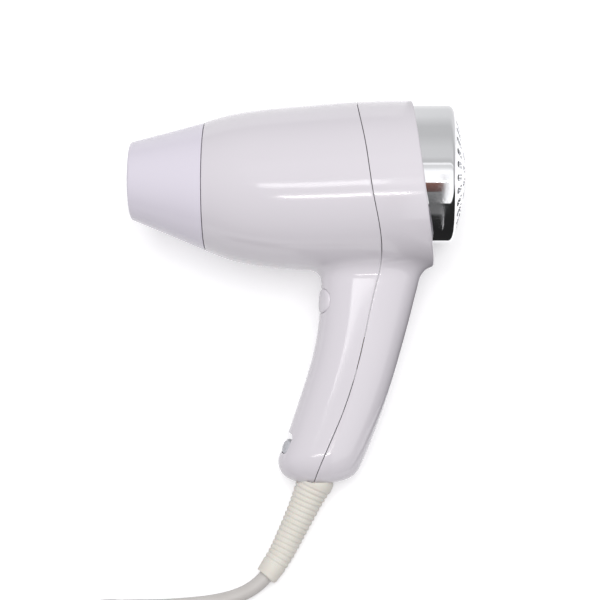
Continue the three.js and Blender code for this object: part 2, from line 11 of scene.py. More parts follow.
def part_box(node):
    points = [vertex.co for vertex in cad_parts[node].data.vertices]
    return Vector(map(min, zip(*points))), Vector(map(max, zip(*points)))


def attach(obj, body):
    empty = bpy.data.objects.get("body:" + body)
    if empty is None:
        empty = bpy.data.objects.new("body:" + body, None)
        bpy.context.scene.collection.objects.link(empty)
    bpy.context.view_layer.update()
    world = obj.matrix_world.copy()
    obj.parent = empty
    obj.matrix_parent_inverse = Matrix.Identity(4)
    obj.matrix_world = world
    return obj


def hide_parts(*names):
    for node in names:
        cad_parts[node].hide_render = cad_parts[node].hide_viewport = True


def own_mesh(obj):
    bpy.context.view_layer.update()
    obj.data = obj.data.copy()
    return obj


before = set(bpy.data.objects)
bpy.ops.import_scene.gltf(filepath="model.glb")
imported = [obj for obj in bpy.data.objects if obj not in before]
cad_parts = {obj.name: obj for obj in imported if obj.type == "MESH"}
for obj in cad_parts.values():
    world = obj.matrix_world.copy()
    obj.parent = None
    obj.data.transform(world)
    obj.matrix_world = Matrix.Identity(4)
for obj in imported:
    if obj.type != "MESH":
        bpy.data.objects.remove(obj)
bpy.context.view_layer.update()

# ---- Table, camera and lamps --------------------------------------------------------------
# The handset is symmetric about its own plane z = 0, and it lies rolled about X until the barrel and
# the end of the handle touch the table. The camera looks square on to that plane, and a pale table,
# a soft sky, two soft boxes and one strip lamp light it.

MM = 0.001
ROLL = math.radians(11.3)
SHAFT_X0 = 9.5
AIR_Y = 2.5

shaft_low, shaft_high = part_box("motor_shaft")
shaft_middle = (shaft_low + shaft_high) / 2
air_drop = Vector((0, math.cos(ROLL), math.sin(ROLL))) * AIR_Y * MM
rest_at = Vector((shaft_low.x - SHAFT_X0 * MM, shaft_middle.y, shaft_middle.z)) - air_drop
handset = Matrix.Translation(rest_at) @ Matrix.Rotation(ROLL, 4, "X") @ Matrix.Scale(MM, 4)
table = Matrix.Translation((rest_at.x, rest_at.y, 0)) @ Matrix.Scale(MM, 4)

EYE = Vector((35, -57.5, 975))
AIM = Vector((0, -57.5, 0))
VIEW_WIDTH = 300
TABLE_SIZE = 4
X_WAY, Y_WAY, Z_WAY = Vector((1, 0, 0)), Vector((0, 1, 0)), Vector((0, 0, 1))


def link(name, data):
    made = bpy.data.objects.new(name, data)
    bpy.context.scene.collection.objects.link(made)
    return made


def aimed(eye, aim):
    """Where a camera or lamp stands and how it turns, with the handset's +Y upwards."""
    back = (eye - aim).normalized()
    side = Y_WAY.cross(back).normalized()
    turn = Matrix((side, back.cross(side), back)).transposed()
    placed = Matrix.Translation(handset @ eye)
    return placed @ Matrix.Rotation(ROLL, 4, "X") @ turn.to_4x4()


camera = link("camera", bpy.data.cameras.new("camera"))
camera.data.angle = 2 * math.atan(VIEW_WIDTH / 2 / (EYE - AIM).length)
camera.data.clip_start = 0.01
camera.matrix_world = aimed(EYE, AIM)
bpy.context.scene.camera = camera
bpy.context.scene.view_settings.view_transform = "Standard"


def lamp(name, tilt, swing, distance, wide, high, power, colour=(1, 1, 1)):
    """A soft box at angles up and across from the camera's axis, turned to the barrel."""
    light = bpy.data.lights.new(name, "AREA")
    light.shape = "RECTANGLE"
    light.size, light.size_y = wide, high
    light.energy = power
    light.color = colour
    made = link(name, light)
    up, across = math.radians(tilt), math.radians(swing)
    flat = math.cos(up)
    way = Vector((math.sin(across) * flat, math.sin(up), math.cos(across) * flat))
    barrel = Vector((10, 0, 20))
    made.matrix_world = aimed(barrel + way * distance, barrel)
    made.visible_camera = False
    return made


lamp("soft_box_above", 20, 1, 1300, 1.2, 0.8, 9.6).visible_glossy = False
lamp("soft_box_front", 1, -3, 1350, 0.75, 0.14, 1.6)
lamp("strip_lamp", -15, -3, 1250, 0.42, 0.01, 1.3, (1, 0.97, 0.95))

sky = bpy.data.worlds.new("sky")
sky.use_nodes = True
sky_light = sky.node_tree.nodes["Background"]
sky_light.inputs["Color"].default_value = (0.98, 0.97, 1, 1)
sky_light.inputs["Strength"].default_value = 0.47
bpy.context.scene.world = sky


DRIFT = (0.3, 0.7)


def noise(material, scale, stretch):
    """A noise texture on Object coordinates, with its scale in waves for each metre."""
    nodes, links = material.node_tree.nodes, material.node_tree.links
    place = nodes.new("ShaderNodeTexCoord")
    mapping = nodes.new("ShaderNodeMapping")
    mapping.inputs["Scale"].default_value = stretch
    texture = nodes.new("ShaderNodeTexNoise")
    texture.inputs["Scale"].default_value = scale
    links.new(place.outputs["Object"], mapping.inputs["Vector"])
    links.new(mapping.outputs["Vector"], texture.inputs["Vector"])
    return texture


def blend(material, factor, first, second):
    """A colour ramp between two linear colours, led by the middle part of a noise."""
    nodes, links = material.node_tree.nodes, material.node_tree.links
    ramp = nodes.new("ShaderNodeValToRGB")
    for element, position, colour in zip(ramp.color_ramp.elements, DRIFT, (first, second)):
        element.position = position
        element.color = (*colour, 1)
    links.new(factor, ramp.inputs["Fac"])
    return ramp.outputs["Color"]


def finish(name, light, dark, roughness, cloud, grain, depth=0.00002, stretch=(1, 1, 1), **fixed):
    """A finish whose colour and roughness drift slightly over the piece, with a fine grain."""
    material = bpy.data.materials.new(name)
    material.use_nodes = True
    nodes, links = material.node_tree.nodes, material.node_tree.links
    shader = nodes["Principled BSDF"]
    drift = noise(material, cloud, stretch)
    links.new(blend(material, drift.outputs["Fac"], dark, light), shader.inputs["Base Color"])
    wear = nodes.new("ShaderNodeMapRange")
    for socket, value in zip(("From Min", "From Max", "To Min", "To Max"), (*DRIFT, *roughness)):
        wear.inputs[socket].default_value = value
    fine = noise(material, grain, stretch)
    links.new(fine.outputs["Fac"], wear.inputs["Value"])
    links.new(wear.outputs["Result"], shader.inputs["Roughness"])
    bump = nodes.new("ShaderNodeBump")
    bump.inputs["Strength"].default_value = 1
    bump.inputs["Distance"].default_value = depth
    links.new(fine.outputs["Fac"], bump.inputs["Height"])
    links.new(bump.outputs["Normal"], shader.inputs["Normal"])
    for socket, value in fixed.items():
        shader.inputs[socket.replace("_", " ")].default_value = value
    return material


def shape(name, vertices, faces, material, place=handset, sharp=35):
    """A mesh piece from points in millimetres, with its place in its mesh."""
    mesh = bpy.data.meshes.new(name)
    mesh.from_pydata([place @ Vector(v) for v in vertices], [], faces)
    mesh.validate()
    tidy = bmesh.new()
    tidy.from_mesh(mesh)
    bmesh.ops.recalc_face_normals(tidy, faces=tidy.faces)
    tidy.to_mesh(mesh)
    tidy.free()
    mesh.shade_smooth()
    mesh.set_sharp_from_angle(angle=math.radians(sharp))
    mesh.materials.append(material)
    return link(name, mesh)


def fit(piece, body, slot, *nodes):
    """Fixes a piece to its body and stands it in for any CAD nodes; its slot, the name of its finish, is not
    used.
    """
    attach(piece, body)
    if nodes:
        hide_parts(*nodes)
    return piece


floor_finish = finish("pale_table", (0.93, 0.93, 0.935), (0.9, 0.9, 0.905), (0.5, 0.6), 6, 300,
                      Emission_Color=(1, 1, 1, 1), Emission_Strength=0.3)
floor = shape("table_top", [(x, y, -0.3) for x, y in [(-1, -1), (1, -1), (1, 1), (-1, 1)]], [(0, 1, 2, 3)],
              floor_finish, Matrix.Diagonal((TABLE_SIZE, TABLE_SIZE, MM, 1)))
floor.visible_diffuse = False

# A bent card round the plated cap stands for the room that the cap mirrors: pale above, a bright
# doorway in the middle, dark below. Only gloss sees it. Each row is a height on the cap, from its lower
# edge at -1 to its upper edge at 1, with the light that comes back from there. The cap's near side looks
# a little higher than it is.
MIRRORED = {"y": 5.1, "radius": 34.3, "left": 53.5, "split": 70.3, "right": 900, "far": 500,
            "above_table": 1.5, "rise": 0.066}
ROOM_ABOVE = [(0.99, 0.89), (0.93, 0.75), (0.82, 0.73), (0.68, 0.57), (0.55, 0.57), (0.38, 0.67),
              (0.25, 0.67), (0.2, 0.565), (0.172, 0.565), (0.163, 1), (0.143, 1), (0.134, 0.74), (0.1, 0.77),
              (0.055, 1.1)]
ROOM_LEFT = [(-0.105, 1.2), (-0.114, (0.2, 0.09, 0.07)), (-0.236, (0.1, 0.06, 0.055)), (-0.245, 0.2),
             (-0.4, 0.14), (-0.54, 0.16), (-0.58, 0.03), (-0.8, 0.018), (-0.945, 0.02), (-0.952, 1)]
ROOM_RIGHT = [(-0.395, 1.2), (-0.411, 0.03), (-0.8, 0.018), (-0.945, 0.02), (-0.952, 1)]


def mirrored(height, across):
    """Where a ray that meets the cap at a height, looked at squarely, lands in the room."""
    height -= MIRRORED["rise"] * math.sqrt(1 - height ** 2)
    turn = math.asin(height)
    facing = Vector((0, height, math.cos(turn)))
    start = Vector((across, MIRRORED["y"], 0)) + facing * MIRRORED["radius"]
    way = (start - EYE).normalized()
    way -= 2 * way.dot(facing) * facing
    spot, sinking = handset @ start, handset.to_3x3() @ way
    reach = MIRRORED["far"]
    if sinking.z < 0:
        reach = min(reach, (MIRRORED["above_table"] * MM - spot.z) / sinking.z)
    return start + way * reach


def room_card(name, left, right, rows):
    """A strip of the card whose brightness is held in its mesh; past the cap it runs straight on."""
    points, tones = [], []
    for height, tone in rows:
        edge = mirrored(height, left)
        points += [edge, edge + X_WAY * (right - left) if right > 100 else mirrored(height, right)]
        tones += [(*tone, 1) if isinstance(tone, tuple) else (tone, tone, tone * 1.01, 1)] * 2
    faces = [(2 * i, 2 * i + 1, 2 * i + 3, 2 * i + 2) for i in range(len(rows) - 1)]
    card = shape(name, points, faces, card_finish)
    layer = card.data.color_attributes.new("tone", "FLOAT_COLOR", "POINT")
    for item, tone in zip(layer.data, tones):
        item.color = tone
    card.visible_camera = card.visible_diffuse = card.visible_shadow = card.visible_transmission = False


card_finish = bpy.data.materials.new("room_card")
card_finish.use_nodes = True
card_nodes = card_finish.node_tree
tone_of = card_nodes.nodes.new("ShaderNodeVertexColor")
tone_of.layer_name = "tone"
card_shader = card_nodes.nodes["Principled BSDF"]
card_shader.inputs["Base Color"].default_value = (0, 0, 0, 1)
card_shader.inputs["Specular IOR Level"].default_value = 0
card_shader.inputs["Emission Strength"].default_value = 1
card_nodes.links.new(tone_of.outputs["Color"], card_shader.inputs["Emission Color"])
room_card("room_card_left", MIRRORED["left"], MIRRORED["split"], ROOM_ABOVE + ROOM_LEFT)
room_card("room_card_right", MIRRORED["split"], MIRRORED["right"], ROOM_ABOVE + ROOM_RIGHT)

# ---- Mains lead ---------------------------------------------------------------------------
# Round two-core vinyl flex, extruded, light grey. It leaves the strain relief, sinks to the table and
# runs out of sight, where its unseen length is wound by hand into two layers of a neat coil.

LEAD_D = 7.3
LEAD_Z = 3.8
LEAD_ROUTE = [
    (-16.6, -191.6, 6.4), (-19.4, -194.6, 5.8), (-23.2, -197.6, 5.1), (-28.6, -200.6, 4.3),
    (-35.5, -203, 3.9), (-44.5, -204.9, LEAD_Z), (-56, -206.2, LEAD_Z), (-69, -207.1, LEAD_Z),
]
TAIL_ROUTE = [
    (-72, -315.2, LEAD_Z), (-60, -315.2, 4.4), (-50, -315.2, 6.4), (-41, -315.2, 9), (-33.9, -315.2, 10.6),
]
COIL_AT = Vector((-92, -259))
COIL_R = 28.5
COIL_PITCH = 7.6
COIL_TURNS = 6.5
COIL_LAYER = 3
COIL_CLIMB = 0.3
TURN_POINTS = 48
LEAD_STEPS = 1500


def coil_radius(turn):
    return COIL_R + COIL_PITCH * math.sqrt((turn - COIL_LAYER) ** 2 + (COIL_CLIMB / 2) ** 2)


def coil_height(turn):
    """One layer on the table, a second on top of it, and the last half turn down its outside."""
    if turn > 2 * COIL_LAYER:
        out = coil_radius(turn) - coil_radius(turn - 2 * COIL_LAYER)
        return LEAD_Z + math.sqrt(max(0, (LEAD_D + 0.05) ** 2 - out ** 2))
    climb = min(1, max(0, (turn - COIL_LAYER + COIL_CLIMB / 2) / COIL_CLIMB))
    return LEAD_Z + (LEAD_D + 0.1) * climb * climb * (3 - 2 * climb)


def coil_points():
    for step in range(int(COIL_TURNS * TURN_POINTS) + 1):
        turn = step / TURN_POINTS
        angle = math.radians(90 + 360 * turn)
        across = coil_radius(turn)
        yield (COIL_AT.x + across * math.cos(angle), COIL_AT.y + across * math.sin(angle), coil_height(turn))


def through(rows, count):
    """Evenly spaced rows along a smooth curve, a natural cubic spline through the given rows."""
    rows = np.array(rows, float)
    place = np.concatenate([[0], np.cumsum(np.linalg.norm(np.diff(rows, axis=0), axis=1))])
    gap = np.diff(place)[:, None]
    slope = np.diff(rows, axis=0) / gap
    size = len(rows)
    bend = np.zeros_like(rows)
    if size > 2:
        links = np.diag(2 * (gap[:-1, 0] + gap[1:, 0]))
        links += np.diag(gap[1:-1, 0], 1) + np.diag(gap[1:-1, 0], -1)
        bend[1:-1] = np.linalg.solve(links, 6 * np.diff(slope, axis=0))
    at = np.linspace(0, place[-1], count)
    leg = np.clip(np.searchsorted(place, at) - 1, 0, size - 2)
    gone, left = (at - place[leg])[:, None], (place[leg + 1] - at)[:, None]
    wide = gap[leg]
    curve = (bend[leg] * left ** 3 + bend[leg + 1] * gone ** 3) / (6 * wide)
    curve += (rows[leg] / wide - bend[leg] * wide / 6) * left
    curve += (rows[leg + 1] / wide - bend[leg + 1] * wide / 6) * gone
    return curve


def line_of(name, points, diameter, material, place=handset, round_steps=5):
    """A round flex or wire along a line of points."""
    curve = bpy.data.curves.new(name, "CURVE")
    curve.dimensions = "3D"
    curve.bevel_depth = diameter / 2 * MM
    curve.bevel_resolution = round_steps
    curve.use_fill_caps = True
    spline = curve.splines.new("POLY")
    spline.points.add(len(points) - 1)
    for point, co in zip(spline.points, points):
        point.co = (*(place @ Vector(co)), 1)
    spline.use_smooth = True
    curve.materials.append(material)
    return link(name, curve)


lead_finish = finish("light_grey_vinyl", (0.62, 0.6, 0.575), (0.575, 0.55, 0.525), (0.34, 0.46), 60, 1800,
                     0.00003, Specular_IOR_Level=0.5)
lead_rows = [*LEAD_ROUTE, *coil_points(), *TAIL_ROUTE]
lead_line = through(lead_rows, LEAD_STEPS)
lead_line[:, 2] = np.maximum(lead_line[:, 2], LEAD_Z)
lead = line_of("mains_flex", lead_line, LEAD_D, lead_finish, table)


def turned(name, profile, axis_y, material, sides=72, place=handset, sharp=35, centre=None, axis_z=0):
    """A profile of [x, radius] points turned about a line along X. centre(x) may shift it up and down."""
    vertices, faces, rings = [], [], []
    for x, radius in profile:
        mid = axis_y if centre is None else centre(x)
        start = len(vertices)
        if radius < 1e-6:
            vertices.append((x, mid, axis_z))
            rings.append([start] * sides)
            continue
        for i in range(sides):
            angle = 2 * math.pi * i / sides
            vertices.append((x, mid + radius * math.cos(angle), axis_z + radius * math.sin(angle)))
        rings.append(list(range(start, start + sides)))
    for near, far in zip(rings, rings[1:]):
        for i in range(sides):
            corner = [near[i], near[(i + 1) % sides], far[(i + 1) % sides], far[i]]
            faces.append(list(dict.fromkeys(corner)))
    faces = [face for face in faces if len(face) > 2]
    return shape(name, vertices, faces, material, place, sharp)


def rounded(corners, closed=False, steps=5):
    """A line of [x, y, radius] corners with an arc at each corner that has a radius."""
    points = []
    for i, (x, y, radius) in enumerate(corners):
        here = Vector((x, y))
        if radius == 0 or (not closed and i in (0, len(corners) - 1)):
            points.append(here)
            continue
        before = (Vector(corners[i - 1][:2]) - here).normalized()
        after = (Vector(corners[(i + 1) % len(corners)][:2]) - here).normalized()
        half = before.angle(after) / 2
        middle = here + (before + after).normalized() * radius / math.sin(half)
        start = here + before * radius / math.tan(half) - middle
        end = here + after * radius / math.tan(half) - middle
        sweep = math.pi - 2 * half
        for step in range(steps + 1):
            share = step / steps
            first, second = math.sin((1 - share) * sweep), math.sin(share * sweep)
            points.append(middle + (start * first + end * second) / math.sin(sweep))
    return [tuple(point) for point in points]


def skinned(name, rings, material, place=handset):
    """Skins closed rings of equally many points and closes both ends."""
    count = len(rings[0])
    vertices = [tuple(point) for ring in rings for point in ring]
    faces = []
    for ring in range(len(rings) - 1):
        for i in range(count):
            a, b = ring * count + i, ring * count + (i + 1) % count
            faces.append((a, b, b + count, a + count))
    faces.append(tuple(range(count)))
    faces.append(tuple(range((len(rings) - 1) * count, len(rings) * count)))
    return shape(name, vertices, faces, material, place)


# ---- Coil tie -----------------------------------------------------------------------------
# A strip of black nylon hook-and-loop wrapped once round both layers of the coil.

TIE = {"half": 4, "bevel": 0.3, "thick": 0.9, "spare": 0.5}
tie_low, tie_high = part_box("coil_tie")
tie_middle = (tie_low + tie_high) / 2
tie_finish = finish("black_nylon_tie", (0.035, 0.035, 0.037), (0.02, 0.02, 0.021), (0.7, 0.85), 300, 5000,
                    0.00006)


def strap_ring(inset, across):
    """One edge of the strap: a rounded rectangle round the coil's section."""
    x0, x1 = tie_low.x / MM + TIE["spare"] + inset, tie_high.x / MM - TIE["spare"] - inset
    z0, z1 = 0.05 + inset, tie_high.z / MM - inset
    line = rounded([(x0, z0, 3.2), (x1, z0, 3.2), (x1, z1, 5), (x0, z1, 5)], True, 8)
    return [(x, tie_middle.y / MM + across, z) for x, z in line]


half, bevel = TIE["half"], TIE["bevel"]
strap_rings = [strap_ring(inset, across) for inset, across in [
    (0.25, -half), (0, bevel - half), (0, half - bevel), (0.25, half), (TIE["thick"], half),
    (TIE["thick"], -half)]]
strap_count = len(strap_rings[0])
strap_faces = []
for edge in range(len(strap_rings)):
    following = (edge + 1) % len(strap_rings)
    for i in range(strap_count):
        ahead = (i + 1) % strap_count
        strap_faces.append((edge * strap_count + i, edge * strap_count + ahead,
                            following * strap_count + ahead, following * strap_count + i))
strap_points = [point for ring in strap_rings for point in ring]
tie = shape("coil_strap", strap_points, strap_faces, tie_finish, Matrix.Scale(MM, 4))
fit(tie, "housing", "black_plastic", "coil_tie")

# ---- Plug ---------------------------------------------------------------------------------
# A moulded two-pin plug in the lead's own vinyl, narrow where it grips the lead and with a finger
# waist, and two plated brass pins with insulated roots.

PLUG = {"x": -32.5, "y": -315.2, "z": 11.2, "length": 62, "square": 0.66, "sides": 64}
PLUG_SECTIONS = [
    (0, 4.2, 4.2), (1, 4.9, 4.9), (9, 5.3, 5.4), (18, 6.4, 6.5), (22, 8.3, 7.9), (27, 12.6, 9.6),
    (33, 15.6, 10.6), (40, 16.4, 10.6), (47, 16.9, 10.7), (56, 17.8, 11), (60.4, 17.9, 11),
    (61.5, 17.5, 10.6), (62, 16.6, 9.8),
]
PIN = {"side": 9.5, "r": 2.3, "root_r": 2.4, "root": 8, "long": 19.4}


def plug_ring(x, half, thick):
    """A rounded oblong section of the plug."""
    ring = []
    for i in range(PLUG["sides"]):
        angle = 2 * math.pi * i / PLUG["sides"]
        c, s = math.cos(angle), math.sin(angle)
        y = math.copysign(abs(c) ** PLUG["square"], c) * half
        z = math.copysign(abs(s) ** PLUG["square"], s) * thick
        ring.append((PLUG["x"] + x, PLUG["y"] + y, PLUG["z"] + z))
    return ring


plug = skinned("plug_moulding", [plug_ring(*row) for row in through(PLUG_SECTIONS, 90)], lead_finish, table)
fit(plug, "housing", "lead_vinyl", "plug_body")
brass_finish = finish("plated_brass", (0.78, 0.7, 0.5), (0.7, 0.6, 0.4), (0.18, 0.3), 200, 4000, 0.00001,
                      Metallic=1)
x0 = PLUG["x"] + PLUG["length"] - 0.6
pin_line = rounded([(x0, 0, 0), (x0, PIN["root_r"], 0), (x0 + PIN["root"], PIN["root_r"], 0.15),
                    (x0 + PIN["root"] + 0.3, PIN["r"], 0.1), (x0 + PIN["long"] - 0.1, PIN["r"], 1.6),
                    (x0 + PIN["long"], 0, 0)])
for number, side in enumerate((-PIN["side"], PIN["side"]), 1):
    pin = turned(f"pin_{number}", pin_line, PLUG["y"] + side, brass_finish, 40, table, axis_z=PLUG["z"])
    fit(pin, "housing", "brass", f"plug_pin_{number}")

fit(lead, "housing", "lead_vinyl", "mains_lead", "lead_coil", "lead_tail")

# ---- Strain relief ------------------------------------------------------------------------
# Soft cream vinyl moulded over the lead: a flange held inside the handle, ribs between seventeen ring
# grooves, which shrink towards the lead, and a plain collar at the end.

NECK_ROWS = [(7.9, -142.4, 0, 6), (7.85, -142.8, 0, 6.6), (7.8, -144.1, 0, 6.6), (7.75, -144.4, 0, 5.5),
             (7.6, -148, 0, 5.5), (7.6, -148.05, 0, 9), (7.6, -148.3, 0, 9.25)]
RELIEF_ROWS = [
    (7.3, -149, 0, 9.2), (4.9, -154, 0, 8.4), (1.4, -161.8, 0.1, 7.6), (-5.4, -176, 0.9, 6.8),
    (-9.8, -184.7, 1.7, 6.4), (-13.4, -190.4, 2.4, 6.1), (-16.4, -194.8, 2.9, 5.7),
]
RIBS = {"pitch": 2.6, "depth": 0.68, "start": 7.4, "end": 52, "share": 0.32}
FULL_TURN = 2 * math.pi
relief_finish = finish("cream_vinyl", (0.77, 0.745, 0.68), (0.73, 0.705, 0.635), (0.42, 0.55), 90, 2200,
                       0.00003, Subsurface_Weight=0.08, Subsurface_Scale=0.003)


def worked(source):
    """The mesh of a carrier with its modifiers or its bevel worked in."""
    graph = bpy.context.evaluated_depsgraph_get()
    return bpy.data.meshes.new_from_object(source.evaluated_get(graph), depsgraph=graph)


class Tree:
    """A Geometry Nodes tree under construction, with named inputs."""

    def __init__(self, name, **inputs):
        self.group = bpy.data.node_groups.new(name, "GeometryNodeTree")
        self.group.interface.new_socket("Geometry", in_out="INPUT", socket_type="NodeSocketGeometry")
        self.group.interface.new_socket("Geometry", in_out="OUTPUT", socket_type="NodeSocketGeometry")
        kinds = {float: "NodeSocketFloat", int: "NodeSocketInt", bpy.types.Material: "NodeSocketMaterial"}
        for title, value in inputs.items():
            kind = kinds.get(type(value), "NodeSocketMaterial")
            socket = self.group.interface.new_socket(title, in_out="INPUT", socket_type=kind)
            if kind != "NodeSocketMaterial":
                socket.default_value = value
        self.values = inputs
        self.given = self.group.nodes.new("NodeGroupInput").outputs

    def add(self, kind, settings=None, **inputs):
        """A node. Its inputs are named, with _ for a space, or numbered as _0."""
        node = self.group.nodes.new(kind)
        for key, value in (settings or {}).items():
            setattr(node, key, value)
        for key, value in inputs.items():
            socket = node.inputs[int(key[1:]) if key[1:].isdigit() else key.replace("_", " ")]
            for one in value if isinstance(value, list) else [value]:
                if isinstance(one, bpy.types.NodeSocket):
                    self.group.links.new(one, socket)
                else:
                    socket.default_value = one
        return node.outputs

    def math(self, operation, *values):
        inputs = {f"_{i}": value for i, value in enumerate(values)}
        return self.add("ShaderNodeMath", {"operation": operation}, **inputs)[0]

    def vector(self, x=0.0, y=0.0, z=0.0):
        return self.add("ShaderNodeCombineXYZ", X=x, Y=y, Z=z)[0]

    def fanned(self, count, whole=FULL_TURN):
        """An angle for each copy, spread evenly over a turn or part of one."""
        index = self.add("GeometryNodeInputIndex")[0]
        return self.math("DIVIDE", self.math("MULTIPLY", index, whole), count)

    def spun(self, piece, count, whole=FULL_TURN):
        """Copies of a piece, each turned further about Z."""
        row = self.add("GeometryNodeMeshLine", Count=count, Offset=(0, 0, 0))[0]
        return self.add("GeometryNodeInstanceOnPoints", Points=row, Instance=piece,
                        Rotation=self.vector(0.0, 0.0, self.fanned(count, whole)))[0]

    def grown(self, name, geometry, source=None, place=handset):
        """Ends the tree with Realize Instances and Set Material, and makes its result a plain mesh piece."""
        real = self.add("GeometryNodeRealizeInstances", Geometry=geometry)[0]
        coated = self.add("GeometryNodeSetMaterial", Geometry=real, Material=self.given["Finish"])[0]
        self.group.links.new(coated, self.group.nodes.new("NodeGroupOutput").inputs[0])
        carrier = link(name + "_source", source or bpy.data.meshes.new(name + "_source"))
        modifier = carrier.modifiers.new(name, "NODES")
        modifier.node_group = self.group
        for item in self.group.interface.items_tree:
            if item.in_out == "INPUT" and item.name in self.values:
                modifier[item.identifier] = self.values[item.name]
        bpy.context.view_layer.update()
        mesh = worked(carrier)
        carrier.modifiers.remove(modifier)
        bpy.data.objects.remove(carrier)
        mesh.name = name
        mesh.transform(place)
        mesh.shade_smooth()
        mesh.set_sharp_from_angle(angle=math.radians(35))
        return link(name, mesh)


def path_curve(rows):
    """A curve of points [x, y, z, radius] for a tree to sweep."""
    curve = bpy.data.curves.new("path", "CURVE")
    curve.dimensions = "3D"
    spline = curve.splines.new("POLY")
    spline.points.add(len(rows) - 1)
    for point, row in zip(spline.points, rows):
        point.co = (*row[:3], 1)
        point.radius = row[3]
    return curve


relief_tree = Tree("ribbed_relief", Pitch=RIBS["pitch"], Depth=RIBS["depth"], Start=RIBS["start"],
                   End=RIBS["end"], Groove=RIBS["share"], Sides=64, Finish=relief_finish)
given = relief_tree.given
along = relief_tree.add("GeometryNodeSplineParameter")["Length"]
phase = relief_tree.math("FRACT", relief_tree.math("DIVIDE", along, given["Pitch"]))
swing = relief_tree.math("ABSOLUTE", relief_tree.math("SUBTRACT", phase, 0.5))
trough = relief_tree.math("SUBTRACT", 1.0, relief_tree.math("DIVIDE", swing, given["Groove"]))
hollow = relief_tree.math("SMOOTH_MIN", relief_tree.math("MAXIMUM", trough, 0.0), 0.62, 0.2)
inside = relief_tree.math("MULTIPLY", relief_tree.math("GREATER_THAN", along, given["Start"]),
                          relief_tree.math("LESS_THAN", along, given["End"]))
sunk = relief_tree.math("MULTIPLY", relief_tree.math("MULTIPLY", hollow, given["Depth"]), inside)
radius = relief_tree.add("GeometryNodeInputRadius")[0]
section = relief_tree.add("GeometryNodeCurvePrimitiveCircle", Resolution=given["Sides"], Radius=1.0)[0]
relief_body = relief_tree.add(
    "GeometryNodeCurveToMesh", Curve=relief_tree.group.nodes[0].outputs[0], Profile_Curve=section,
    Scale=relief_tree.math("SUBTRACT", radius, sunk), Fill_Caps=True)[0]
relief_line = through(RELIEF_ROWS, 420)
relief_end = relief_line[-1][:3]
tail = [(*(relief_end + [-0.2, -0.32, 0.05]), 5.4), (*(relief_end + [-0.3, -0.42, 0.06]), 4.6)]
relief = relief_tree.grown("ribbed_sleeve", relief_body, path_curve([*NECK_ROWS, *relief_line, *tail]))
fit(relief, "housing", "relief_rubber", "strain_relief")

# ---- Housings -----------------------------------------------------------------------------
# Two gloss mouldings in a very pale lavender white, 2.2 mm thick: the front of the barrel with the front
# half of the grip, and the rear ring with the rear half. They meet along a curved parting line, and
# a soft fillet blends the grip into the barrel.

WALL = 2.2
BARREL = [(-50, -0.7, 31.3), (-47, -0.7, 32.3), (-38, -1.1, 35.3), (-22, -1.6, 38.7), (-2, -1.7, 40.7),
          (28, -0.6, 41.8), (70, 0.4, 41), (78, 0.5, 40.7)]
GRIP = [
    (-18, 10.9, 63), (-34, 10.9, 62.6), (-50, 10.6, 58.8), (-66, 9.6, 54.7), (-82, 7.1, 50.4),
    (-97, 3, 46.2), (-111, -1.6, 41.7), (-124, -6, 37), (-132.5, -9.4, 33.6), (-138.5, -10.9, 31),
    (-143.5, -9.2, 28.2), (-147, -5, 23), (-148.8, 1.5, 15),
]
GRIP_HALF = 15.6
GRIP_SQUARE = 2.35
GRIP_END = {"y": -133, "depth": 17}
SEAM = [
    (26.5, 52), (28.2, 40.8), (32.6, 19), (36.5, -6.5), (39.9, -24.5), (40.5, -36), (37.2, -52.4),
    (31.4, -78.9), (21.5, -112.9), (7, -148.2), (4.5, -156),
]
SEAM_GAP = 0.3
FRONT_END = -47
REAR_EDGE = {"x": 61.4, "lean": math.radians(7.4), "radius": 0.9}
FILLET = 7
SKIN_STEP = 0.95
CAP_Y = 5.1
CAP_HOLE = 34.9
TRIGGER = {"y": -58, "high": 12.2, "half": 10.7, "corner": 4.6}
SELECTOR = {"x": -6.5, "y": -128.7, "slot": 10.5, "half": 9.3, "corner": 2.2, "lean": math.radians(-19.6)}
SCREW = {"y": -125, "hole": 2.9}
RELIEF_HOLE = {"x": 7.2, "radius": 6}
ELSEWHERE = 9

shell_finish = finish("pale_gloss_shell", (0.715, 0.686, 0.724), (0.697, 0.667, 0.708), (0.1, 0.15), 14, 1500,
                      0.000004, IOR=1.5, Coat_Weight=0.2, Coat_Roughness=0.04)


def grip_ring(y, front, rear, sides=200):
    into = min(1, max(0, GRIP_END["y"] - y) / GRIP_END["depth"])
    half = GRIP_HALF * math.sqrt(1 - into * into)
    ring = []
    for i in range(sides):
        angle = 2 * math.pi * i / sides
        c, s = math.cos(angle), math.sin(angle)
        x = (front + rear) / 2 + math.copysign(abs(c) ** (2 / GRIP_SQUARE), c) * (rear - front) / 2
        ring.append((x, y, math.copysign(abs(s) ** (2 / GRIP_SQUARE), s) * half))
    return ring


def barrel_ring(x, centre, radius, sides=240):
    angles = [2 * math.pi * i / sides for i in range(sides)]
    return [(x, centre + radius * math.cos(angle), radius * math.sin(angle)) for angle in angles]


def outward(rings):
    """A closed skin over rings as vertices and faces, with its faces turned outwards."""
    made = skinned("former", rings, None, Matrix.Identity(4))
    vertices = [vertex.co.copy() for vertex in made.data.vertices]
    faces = [tuple(face.vertices) for face in made.data.polygons]
    bpy.data.objects.remove(made)
    return vertices, faces


barrel_line = through(BARREL, 400)
barrel_slope = np.gradient(barrel_line[:, 2], barrel_line[:, 0])
barrel_skin = outward([barrel_ring(*row) for row in through(BARREL, 120)])
grip_skin = outward([grip_ring(*row) for row in through(GRIP, 220)])
grip_tree = BVHTree.FromPolygons(*grip_skin)


